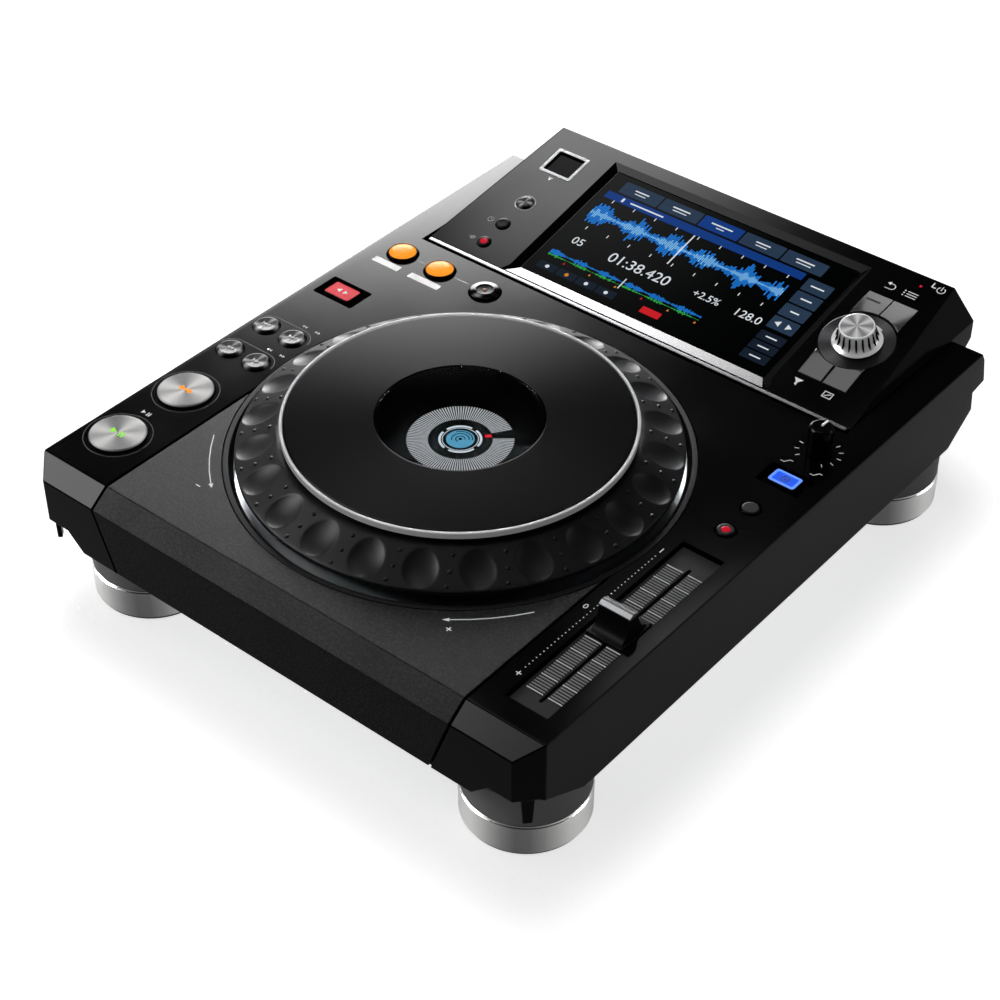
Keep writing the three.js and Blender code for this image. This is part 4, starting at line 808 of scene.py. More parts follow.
def repeated(
    name: str, shape: Solid, way: Copies, count: int, finish: Finish, place: Matrix, turn: float = 0.0,
    step: tuple[float, float, float] = (0.0, 0.0, 0.0), low: float = 1.0, swell: float = 0.0, seed: int = 0,
) -> bpy.types.Object:
    """Repeats a shape with Geometry Nodes and moves the result to its place.

    Args:
        name: the piece's name.
        shape: one copy, in the local frame's millimetres.
        way: ring or row.
        count: how many copies.
        finish: their material.
        place: from the local millimetres to the part's metres.
        turn: degrees between copies of a ring.
        step: millimetres between copies of a row.
        low: smallest share of its length that a copy of a row has.
        swell: radians by which a row's heights swell from copy to copy.
        seed: picks the random heights.

    Returns:
        The piece, as a plain mesh.
    """
    piece = shape.piece(name, Matrix.Identity(4))
    modifier = piece.modifiers.new("copies", "NODES")
    modifier.node_group = copies_tree(way, finish.material(), seed)
    values = {"Count": count, "Turn": math.radians(turn), "Step": step, "Low": low, "Swell": swell}
    for item in modifier.node_group.interface.items_tree:
        if item.in_out == "INPUT" and item.name in values:
            modifier[item.identifier] = values[item.name]
    settled(piece)
    piece.data.transform(place)
    return piece


@dataclass
class Frames:
    """The three local frames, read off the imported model."""

    deck: Matrix = field(default_factory=Matrix)
    jog: Matrix = field(default_factory=Matrix)
    plate: Matrix = field(default_factory=Matrix)
    nose_reach: float = 10.6
    jog_centre: float = 126.0
    plate_front: float = 258.2
    plate_drop: float = 1.0

    @staticmethod
    def read(frame: dict) -> Frames:
        """Works the frames out.


        Returns:
            The frames, each from local millimetres to the part's metres.
        """
        made = Frames()
        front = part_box("upper_case")[0].y + made.nose_reach * MM
        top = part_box("jog_bezel")[1].z
        made.deck = Matrix.Translation((0, front, top)) @ Matrix.Scale(MM, 4)
        made.jog = made.deck @ Matrix.Translation((0, made.jog_centre, 0))
        axis = next(j["axis"] for j in frame["joints"] if j["name"] == "browse_turn")
        tilt = math.atan2(-axis[1], axis[2])
        foot = Matrix.Translation((0, made.plate_front, -made.plate_drop))
        made.plate = made.deck @ foot @ Matrix.Rotation(tilt, 4, "X")
        return made

    def middle(self, node: str) -> Vector:
        """Middle of a CAD node, in the deck frame."""
        low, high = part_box(node)
        return self.deck.inverted() @ ((low + high) / 2)


def dressed(
    piece: bpy.types.Object, finish: Finish, body: str, replaces: Sequence[str] = (), smooth: float = 34.0
) -> bpy.types.Object:
    """Shades a piece, gives it its finish and ties it to the frame.

    Args:
        piece: the object.
        finish: its finish.
        body: the CAD body that it rides on.
        replaces: the CAD nodes that it stands for.
        smooth: degrees up to which its faces shade as one.

    Returns:
        The piece.
    """
    shaded(piece, smooth)
    piece.data.materials.clear()
    piece.data.materials.append(finish.material())
    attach(piece, body)
    if replaces:
        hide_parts(*replaces)
    LOG.info("%s rides on %s with %d faces", piece.name, body, len(piece.data.polygons))
    return piece


def paint(nodes: dict, names: Iterable[str], finish: Finish) -> None:
    """Gives CAD nodes that stay a better material."""
    for name in names:
        mesh = nodes[name].data
        mesh.materials.clear()
        mesh.materials.append(finish.material())
        LOG.info("%s keeps its solid in %s", name, finish.name)


@dataclass
class Assembly:
    """A sub-assembly that adds dressed pieces in a local frame of its own."""

    frames: Frames

    @property
    def place(self) -> Matrix:
        """From this sub-assembly's millimetres to the part's metres."""
        return self.frames.deck

    def put(
        self, name: str, solid: Solid, finish: Finish, slot: Slot = Slot.SATIN, body: str = Body.ROOT,
        nodes: Sequence[str] = (), at: Matrix | None = None, edge: float = 0.0, smooth: float = 34.0,
    ) -> bpy.types.Object:
        """Makes, rounds and dresses a piece.

        Args:
            name: the piece's name.
            solid: its shape.
            finish: its finish.
            slot: the record's slot of that finish, which is not used.
            body: the CAD body that it rides on.
            nodes: the CAD nodes that it stands for.
            at: its frame, where that isn't the sub-assembly's own.
            edge: millimetres by which its edges are rounded.
            smooth: degrees up to which its faces shade as one.

        Returns:
            The piece.
        """
        piece = solid.piece(name, self.place if at is None else at)
        if edge:
            rounded(piece, edge)
        return dressed(piece, finish, body, nodes, smooth)

    def repeat(
        self, name: str, shape: Solid, way: Copies, count: int, finish: Finish, slot: Slot = Slot.SATIN,
        body: str = Body.ROOT, at: Matrix | None = None, smooth: float = 34.0, **steps: object,
    ) -> None:
        """Repeats a shape, by the steps that repeated() takes, and dresses the copies as one piece."""
        piece = repeated(name, shape, way, count, finish, self.place if at is None else at, **steps)
        dressed(piece, finish, body, smooth=smooth)

    def change(
        self, piece: bpy.types.Object, solid: Solid, operation: str = "DIFFERENCE", at: Matrix | None = None
    ) -> None:
        """Cuts a solid from a piece, or joins it on."""
        combined(piece, solid.piece("tool", self.place if at is None else at), operation)


@dataclass
class Case(Assembly):
    """Gloss case, textured front sheet and corner tabs."""

    half: float = 153.0
    height: float = 47.0
    wall: float = 2.0
    front_wall: float = 4.3
    deck_thickness: float = 4.5
    deck_length: float = 352.5
    nose_half: float = 143.6
    nose_reach: float = 10.6
    nose_drop: float = 7.9
    nose_foot: float = 41.0
    nose_sweep: float = 12.6
    rear_wall: float = 349.5
    chamfer_run: float = 19.9
    chamfer_rise: float = 14.0
    lip: float = 6.3
    lip_drop: float = 19.9
    lip_under: float = 21.7
    under_inset: float = 4.5
    shoulder: float = 2.9
    shoulder_drop: float = 4.8
    block_half: float = 130.0
    block_depth: float = 26.0
    block_drop: float = 21.0
    undercut_top: float = 130.6
    undercut_drop: float = 32.0
    undercut_slope: float = 1.0667
    side_drop: float = 33.0
    side_run: float = 27.0
    sheet_half: float = 109.0
    sheet_foot_half: float = 97.0
    sheet_thickness: float = 2.0
    seam: float = 1.4
    jog_y: float = 126.0
    bezel_radius: float = 113.0
    groove_y: float = 252.7
    well_half: float = 135.1
    well_floor: float = -16.8
    gap: float = 0.3
    overcut: float = 4.0

    def side_outline(self) -> Points:
        """The case seen from its right side."""
        return [
            (0, 0),
            (-self.nose_reach, -self.nose_drop),
            (-self.nose_reach, -self.nose_foot),
            (self.nose_sweep - self.nose_reach, -self.height),
            (self.rear_wall - self.chamfer_run, -self.height),
            (self.rear_wall, self.chamfer_rise - self.height),
            (self.deck_length - self.under_inset, -self.lip_under),
            (self.deck_length + self.lip, -self.lip_drop),
            (self.deck_length + self.shoulder, -self.shoulder_drop),
            (self.deck_length, 0),
        ]

    def plan_outline(self) -> Points:
        """The case seen from above."""
        back = self.deck_length + self.lip + self.overcut
        return [
            (-self.nose_half, -self.nose_reach),
            (self.nose_half, -self.nose_reach),
            (self.half, 0),
            (self.half, back),
            (-self.half, back),
            (-self.half, 0),
        ]

    @staticmethod
    def inset(outline: Outline, distances: Sequence[float]) -> Points:
        """Closed outline with each edge moved inwards by its own distance."""
        side = 1 if signed_area(outline) > 0 else -1
        count = len(outline)
        edges = []
        for i in range(count):
            a, b = Vector(outline[i]), Vector(outline[(i + 1) % count])
            run = (b - a).normalized()
            shift = Vector((-run.y, run.x)) * side * distances[i]
            edges.append((a + shift, run))
        made = []
        for i in range(count):
            (a, u), (b, v) = edges[i - 1], edges[i]
            cross = u.x * v.y - u.y * v.x
            share = ((b.x - a.x) * v.y - (b.y - a.y) * v.x) / cross
            made.append((a.x + u.x * share, a.y + u.y * share))
        return made

    def shell_part(self, outline: Outline, plan: Outline, reach: float, growth: float, name: str) -> bpy.types.Object:
        """Side outline met with the plan, less the space under both front corners."""
        place = self.place
        low = -self.height - 2 * self.overcut
        hull = Solid().along(outline, "x", -reach, reach).piece(name, place)
        column = Solid().plate(plan, low, self.overcut).piece("column", place)
        combined(hull, column, "INTERSECT")
        for side in (-1, 1):
            combined(hull, self.corner_space(side, growth), "DIFFERENCE")
        return hull

    def corner_space(self, side: int, growth: float) -> bpy.types.Object:
        """Space cut away under a front corner, grown by the wall for the inside."""
        low = self.height + 2 * self.overcut
        top_x = self.undercut_top - growth
        top_z = growth - self.undercut_drop
        far = self.half + self.overcut
        foot_x = top_x - self.undercut_slope * (low + top_z)
        front_view = [(side * x, z) for x, z in ((top_x, top_z), (far, top_z), (far, -low), (foot_x, -low))]
        fall = (self.height - self.side_drop) / self.side_run
        lift = growth * math.hypot(1, fall)
        front_y = -self.nose_reach - self.overcut
        side_view = [
            (front_y, lift - self.side_drop - fall * front_y),
            ((low + lift - self.side_drop) / fall, -low),
            (front_y, -low),
        ]
        place = self.place
        across = Solid().along(front_view, "y", front_y, self.deck_length / 2).piece("across", place)
        along = Solid().along(side_view, "x", -far, far).piece("along", place)
        return combined(across, along, "INTERSECT")

    def band(self, outer: float, inner: float, foot: float, half_top: float, half_foot: float) -> bpy.types.Object:
        """Strip bent over the nose, between two depths under the case's surface."""
        path = [(self.jog_y, 0.0), (0.0, 0.0), (-self.nose_reach, -self.nose_drop), (-self.nose_reach, foot)]

        def shifted(distance: float) -> Points:
            """The path moved inwards."""
            edges = []
            for a, b in zip(path, path[1:]):
                run = (Vector(b) - Vector(a)).normalized()
                shift = Vector((-run.y, run.x)) * distance
                edges.append((Vector(a) + shift, Vector(b) + shift, run))
            made = [edges[0][0]]
            for (a, _, u), (b, _, v) in zip(edges, edges[1:]):
                cross = u.x * v.y - u.y * v.x
                made.append(a + u * (((b.x - a.x) * v.y - (b.y - a.y) * v.x) / cross))
            made.append(edges[-1][1])
            return [(p.x, p.y) for p in made]

        profile = shifted(-outer) + shifted(inner)[::-1]
        front_view = [
            (-half_top, self.overcut),
            (-half_top, -self.nose_drop),
            (-half_foot, -self.nose_foot),
            (-half_foot, -self.height - self.overcut),
            (half_foot, -self.height - self.overcut),
            (half_foot, -self.nose_foot),
            (half_top, -self.nose_drop),
            (half_top, self.overcut),
        ]
        place = self.place
        strip = Solid().along(profile, "x", -half_top, half_top).piece("strip", place)
        low, high = -self.nose_reach - 2 * self.overcut, self.jog_y + self.overcut
        view = Solid().along(front_view, "y", low, high).piece("view", place)
        return combined(strip, view, "INTERSECT")

    def holes(self, controls: DeckControls, tempo: TempoSide) -> bpy.types.Object:
        """Every opening in the deck for the wheel, buttons, keys, slider and knob."""
        solid = Solid()
        low, high = -2 * self.overcut, self.overcut
        solid.plate(circle(self.bezel_radius + self.gap, 192, 0, self.jog_y), low, high)
        for cap in controls.caps.values():
            solid.plate(circle(cap.radius + cap.play, 64, cap.x, cap.y), low, high)
        for key in controls.keys:
            solid.plate(rectangle(key.x, key.y, key.recess_x, key.recess_y, 1.2), low, high)
        middle = (tempo.front + tempo.back) / 2
        recess = rectangle(tempo.x, middle, tempo.width, tempo.back - tempo.front, 0.8)
        solid.plate(recess, low, high)
        solid.plate(circle(3.3, 48, tempo.knob_x, tempo.knob_y), low, high)
        return solid.piece("holes", self.place)

    def build(self, controls: DeckControls, tempo: TempoSide) -> None:
        """Builds the case and its sheet."""
        half, rear, over, wall = self.block_half, self.rear_wall, self.overcut, self.wall
        outer = self.shell_part(self.side_outline(), self.plan_outline(), self.half, 0.0, "case_shell")
        low, high = (-half, rear - self.block_depth, -self.height), (half, rear, -self.block_drop)
        self.change(outer, Solid().box(low, high), "UNION")
        self.tidy(outer)
        rounded(outer, 0.9)
        insets = [self.front_wall, self.front_wall, wall, -over] + [wall] * 5 + [self.deck_thickness]
        side = self.inset(self.side_outline(), insets)
        plan = self.inset(self.plan_outline(), [0, wall, wall, 0, wall, wall])
        inner = self.shell_part(side, plan, self.half - wall, wall, "inner")
        low = (wall - half, rear - self.block_depth, -self.height - over)
        self.change(inner, Solid().box(low, (half - wall, rear - wall, -self.block_drop)), "UNION")
        combined(outer, inner, "DIFFERENCE")
        tops = (self.sheet_half + self.seam, self.sheet_foot_half + self.seam)
        pocket = self.band(over / 2, self.sheet_thickness + self.gap, -self.nose_foot - over, *tops)
        combined(outer, pocket, "DIFFERENCE")
        combined(outer, self.holes(controls, tempo), "DIFFERENCE")
        well, groove, back = self.well_half, self.groove_y, self.deck_length + self.lip + 2 * over
        self.change(outer, Solid().box((-well, groove, self.well_floor), (well, back, over)))
        self.change(outer, Solid().box((5 - half, rear - over, -44), (half - 5, rear + over, -24)))
        self.change(outer, Solid().box((-well, groove - 5, -9), (well, groove + 5.2, -6.3)), "UNION")
        dressed(outer, PIANO_ABS, Body.ROOT, ["upper_case"])
        self.ledges()
        self.tabs()
        self.sheet()

    @staticmethod
    def tidy(piece: bpy.types.Object) -> None:
        """Merges doubles and flat neighbours, so that only real edges are left to round."""
        shape = bmesh.new()
        shape.from_mesh(piece.data)
        bmesh.ops.remove_doubles(shape, verts=shape.verts, dist=0.01 * MM)
        bmesh.ops.dissolve_limit(shape, angle_limit=math.radians(0.5), verts=shape.verts, edges=shape.edges)
        shape.to_mesh(piece.data)
        shape.free()

    def ledges(self) -> None:
        """Ledges along both side walls that carry the housing."""
        solid = Solid()
        for side in (-1, 1):
            middle = side * (self.well_half - 4.6 + self.half - 1) / 2
            width = self.half - 1 - self.well_half + 4.6
            solid.cushion(middle, 301, width, 86, self.well_floor - 3.2, self.well_floor, 0.5, 0.3)
        self.put("housing_ledges", solid, PIANO_ABS, Slot.GLOSS)

    def tabs(self) -> None:
        """Tapered tabs that hang from both corner facets."""
        for side, name in ((-1, "left"), (1, "right")):
            width, foot_width, thickness, inset = 6.4, 4.4, 2.4, 1.6
            corners = []
            for z, w in ((-31.0, width), (-47.6, foot_width)):
                corners += [(sx * w / 2, y, z) for sx in (-1, 1) for y in (inset, inset + thickness)]
            angle = math.atan2(self.nose_reach, self.half - self.nose_half)
            turn = Matrix.Rotation(side * angle, 4, "Z")
            at = Matrix.Translation((side * (self.half + self.nose_half) / 2, -self.nose_reach / 2, 0))
            place = self.place @ at @ turn
            self.put(f"corner_tab_{name}", Solid().hull(corners), PIANO_ABS, Slot.GLOSS, at=place, edge=0.6)

    def sheet(self) -> None:
        """Textured sheet bent over the nose."""
        foot = self.gap - self.nose_foot + 0.1
        strip = self.band(0.0, self.sheet_thickness, foot, self.sheet_half, self.sheet_foot_half)
        strip.name = "front_sheet"
        self.tidy(strip)
        rounded(strip, 0.45)
        opening = Solid().plate(circle(self.bezel_radius + 0.4, 192, 0, self.jog_y), -self.overcut, self.overcut)
        self.change(strip, opening)
        dressed(strip, SPARK_ABS, Body.ROOT, ["front_panel"])


@dataclass
class Feet(Assembly):
    """Four round feet: black body, bright turned band, rubber pad."""

    body_outline: tuple = (
        (0, -84.0), (29.2, -84.0, 0.5), (29.2, -82.4, 0.2), (25, -82.4), (25, -65.3), (29.8, -65.3, 0.3),
        (29.8, -47.3, 0.9), (0, -47.3),
    )
    band_outline: tuple = (
        (25.3, -82.1, 0.2), (30.3, -82.1, 0.5), (30.3, -66.9, 0.25), (29.7, -66.3, 0.2), (29.7, -65.6, 0.2),
        (25.3, -65.6, 0.2),
    )

    def build(self) -> None:
        """Builds each foot where its CAD node stands."""
        for corner in ("front_left", "front_right", "rear_left", "rear_right"):
            at = self.frames.middle(f"foot_{corner}")
            body = Solid().lathe(soften(self.body_outline), 128, at.x, at.y)
            self.put(f"foot_body_{corner}", body, FOOT_RUBBER, Slot.RUBBER, nodes=[f"foot_{corner}"])
            band = Solid().lathe(soften(self.band_outline), 160, at.x, at.y)
            self.put(f"foot_ring_{corner}", band, FOOT_ALUMINIUM, Slot.ALUMINIUM, nodes=[f"foot_band_{corner}"])


@dataclass
class JogWheel(Assembly):
    """Bezel, dimpled rim, drum, top plate, bright ring, clear window and the display under it."""

    dimples: int = 24
    rim_radius: float = 107.0
    neck_radius: float = 86.0
    drum_radius: float = 83.0
    rim_top: float = 5.0
    rim_foot: float = 2.8
    neck_top: float = 14.0
    neck_foot: float = 12.4
    dimple_radius: float = 97.0
    dimple_radial: float = 9.2
    dimple_side: float = 8.2
    dimple_depth: float = 1.75
    across: int = 14  # spans of a sector's border along the rim
    along: int = 12  # spans of it towards the axis
    display_top: float = 6.0
    marker_turn: float = 49.0  # degrees from +x

    @property
    def place(self) -> Matrix:
        """From the wheel's millimetres to the part's metres."""
        return self.frames.jog

    def turned(
        self, name: str, finish: Finish, slot: Slot, body: Body, nodes: Sequence[str], *outline: Sequence[float]
    ) -> None:
        """Turns one ring of the wheel."""
        self.put(name, Solid().lathe(soften(outline), 192), finish, slot, body, nodes)

    def rim_height(self, radius: float) -> float:
        """Height of the rim's cone at a radius."""
        share = (self.rim_radius - radius) / (self.rim_radius - self.neck_radius)
        return self.rim_top + (self.neck_top - self.rim_top) * share

    def sector(self) -> Solid:
        """One sector of the rim with its finger dimple in the middle, open at both sides."""
        half_turn = math.pi / self.dimples
        middle, across, along = self.dimple_radius, self.across, self.along
        low, high = self.neck_radius, self.rim_radius - 0.4
        border = [(-half_turn + 2 * half_turn * i / across, high) for i in range(across)]
        border += [(half_turn, high + (low - high) * i / along) for i in range(along)]
        border += [(half_turn - 2 * half_turn * i / across, low) for i in range(across)]
        border += [(-half_turn, low + (high - low) * i / along) for i in range(along)]
        edge = []  # where the ray towards each border point leaves the dimple
        for turn, radius in border:
            side, radial = turn * middle, radius - middle
            scale = 1 / math.hypot(side / self.dimple_side, radial / self.dimple_radial)
            edge.append((side * scale, radial * scale))
        solid = Solid()

        def add(turn: float, radius: float, drop: float) -> int:
            """Adds a point under the rim's cone."""
            height = self.rim_height(radius) - drop
            solid.points.append((radius * math.cos(turn), radius * math.sin(turn), height))
            return len(solid.points) - 1

        rows = [
            [
                add(turn + (side / middle - turn) * share, radius + (middle + radial - radius) * share, 0.0)
                for (turn, radius), (side, radial) in zip(border, edge)
            ]
            for share in (0.0, 0.5, 0.85, 1.0)
        ]
        for size in (1.0 - k / 12 for k in range(1, 12)):
            drop = self.dimple_depth * (1 - size**2) ** 0.85
            rows.append([add(side * size / middle, middle + radial * size, drop) for side, radial in edge])
        centre = add(0.0, middle, self.dimple_depth)
        pairs = [(i, (i + 1) % len(border)) for i in range(len(border))]
        for outer, inner in zip(rows, rows[1:]):
            for i, k in pairs:
                solid.face([outer[i], inner[i], inner[k], outer[k]])
        for i, k in pairs:
            solid.face([rows[-1][i], centre, rows[-1][k]])
        self.skirt(solid, rows[0], half_turn)
        return solid

    def skirt(self, solid: Solid, border: list[int], half_turn: float) -> None:
        """Closes the sector's outer edge, neck and underside."""
        inside = self.drum_radius + 0.05
        section = [
            (self.rim_radius - 0.1, self.rim_top - 0.2), (self.rim_radius, self.rim_top - 0.6),
            (self.rim_radius, self.rim_foot + 0.3), (self.rim_radius - 0.3, self.rim_foot),
            (inside, self.neck_foot), (inside, self.neck_top - 0.3), (self.drum_radius + 0.35, self.neck_top),
        ]
        columns = []
        for i in range(self.across + 1):
            turn = -half_turn + 2 * half_turn * i / self.across
            start = len(solid.points)
            solid.points.extend((r * math.cos(turn), r * math.sin(turn), height) for r, height in section)
            inner = border[2 * self.across + self.along - i]
            columns.append([border[i], *range(start, len(solid.points)), inner])
        for left, right in zip(columns, columns[1:]):
            for j in range(len(left) - 1):
                solid.face([left[j], right[j], right[j + 1], left[j + 1]])

    def rim(self) -> None:
        """Dimpled rim of the platter, with the nubs between its dimples."""
        turn = 360 / self.dimples
        piece = repeated("jog_rim", self.sector(), Copies.RING, self.dimples, MATT_ABS, self.place, turn)
        shape = bmesh.new()
        shape.from_mesh(piece.data)
        bmesh.ops.recalc_face_normals(shape, faces=shape.faces)
        shape.to_mesh(piece.data)
        shape.free()
        dressed(piece, MATT_ABS, Body.JOG, ["jog_platter"], smooth=28)
        nub = Solid()
        for radius, degrees in ((90.0, 8.3), (97.6, 7.7), (104.2, 7.0)):
            at = math.radians(degrees)
            x, y, z = radius * math.cos(at), radius * math.sin(at), self.rim_height(radius)
            outline = [(0, z - 0.6), (1.15, z - 0.6), (1.05, z + 0.25), (0.7, z + 0.5), (0, z + 0.6)]
            nub.lathe(outline, 12, x, y)
        self.repeat(
            "jog_nubs", nub, Copies.RING, self.dimples, MATT_ABS, Slot.PLATTER, Body.JOG, smooth=40, turn=turn
        )

    def graphics(self) -> None:
        """Ring of ticks, bright ring, blue centre and red marker on the display."""
        low, high = self.display_top - 0.02, self.display_top + 0.08
        ticks, left_out = 120, 5
        tick = Solid().plate([(15.4, -0.2), (25.6, -0.33), (25.6, 0.33), (15.4, 0.2)], low, high)
        start = spin(self.marker_turn + 360 / ticks * left_out / 2 + 1)
        self.repeat(
            "jog_tick_ring", tick, Copies.RING, ticks - left_out, DISPLAY_GREY, at=self.place @ start,
            turn=360 / ticks,
        )
        rings = Solid()
        for i in range(4):
            rings.arc(9.9, i * 90 + 6, i * 90 + 80, 1.1, low=low, high=high)
        rings.arc(8.6, 0, 358, 0.3, low=low, high=high)
        self.put("jog_display_rings", rings, DISPLAY_WHITE)
        self.put("jog_display_centre", Solid().plate(circle(6.8, 48), low, high), DISPLAY_BLUE, Slot.BLUE)
        motif = Solid()
        for radius, sweep in ((2.2, 250), (4.2, 200), (5.8, 120)):
            motif.arc(radius, 30, 30 + sweep, 0.5, low=high, high=high + 0.05)
        motif.plate(circle(0.9, 16), high, high + 0.05)
        self.put("jog_display_motif", motif, SCREEN_BLACK)
        hand = Solid().stroke([(11.9, 0), (15.0, 0)], 2.0, low, high + 0.1)
        self.put("jog_display_marker", hand, DISPLAY_RED, Slot.RED, at=self.place @ spin(self.marker_turn))

    def build(self) -> None:
        """Builds the whole wheel."""
        self.turned(
            "jog_bezel_ring", SATIN_ABS, Slot.GLOSS, Body.ROOT, ["jog_bezel"], (107.8, -8.7, 0.3), (115.8, -8.7, 0.3),
            (115.8, -4.8, 0.3), (113, -4.8), (113, 0, 0.5), (110, 0, 0.6), (107.8, -3, 0.5),
        )
        self.rim()
        self.turned(
            "jog_drum", MATT_ABS, Slot.PLATTER, Body.JOG, [], (16.3, -6, 0.3), (19.5, -6, 0.3), (19.5, -1.5),
            (83, -1.5, 0.5), (83, 16.7, 0.3), (80, 16.7, 0.3), (80, 1.5), (16.3, 1.5, 0.3),
        )
        self.turned(
            "jog_disc", TOP_PLATE, Slot.SATIN, Body.JOG, ["jog_top_plate"], (83.2, 17, 0.2), (83.2, 20, 0.7),
            (40.6, 20, 0.3), (40.6, 17.4), (39.2, 17.4), (39.2, 9, 0.3), (42.2, 9, 0.3), (42.2, 17),
        )
        self.turned(
            "jog_bright_ring", RING_METAL, Slot.CHROME, Body.JOG, ["jog_ring"], (83.5, 16.9, 0.2), (85.1, 16.9, 0.2),
            (85.1, 20, 0.5), (83.5, 20, 0.5),
        )
        self.turned(
            "jog_lens", CLEAR, Slot.LENS, Body.JOG, ["jog_window"], (0, 17.7), (40.3, 17.7, 0.2), (40.3, 19.7, 0.4),
            (0, 19.7),
        )
        self.turned(
            "jog_window_edge", LENS_BLACK, Slot.SATIN, Body.JOG, [], (40.35, 19.0), (40.58, 19.0), (40.58, 20.0, 0.05),
            (40.35, 19.9),
        )
        self.turned(
            "jog_display_disc", BLACK_INK, Slot.SATIN, Body.ROOT, ["jog_display"], (0, 2), (38, 2, 0.3), (38, 6, 0.4),
            (0, 6),
        )
        self.graphics()


@dataclass
class Cap:
    """A round cap of the deck, with its play in the hole."""

    name: str
    x: float
    y: float
    radius: float
    play: float


@dataclass
class Key:
    """A wide cap in a recess of the deck."""

    name: str
    x: float
    y: float
    recess_x: float
    recess_y: float
    cap_x: float
    cap_y: float


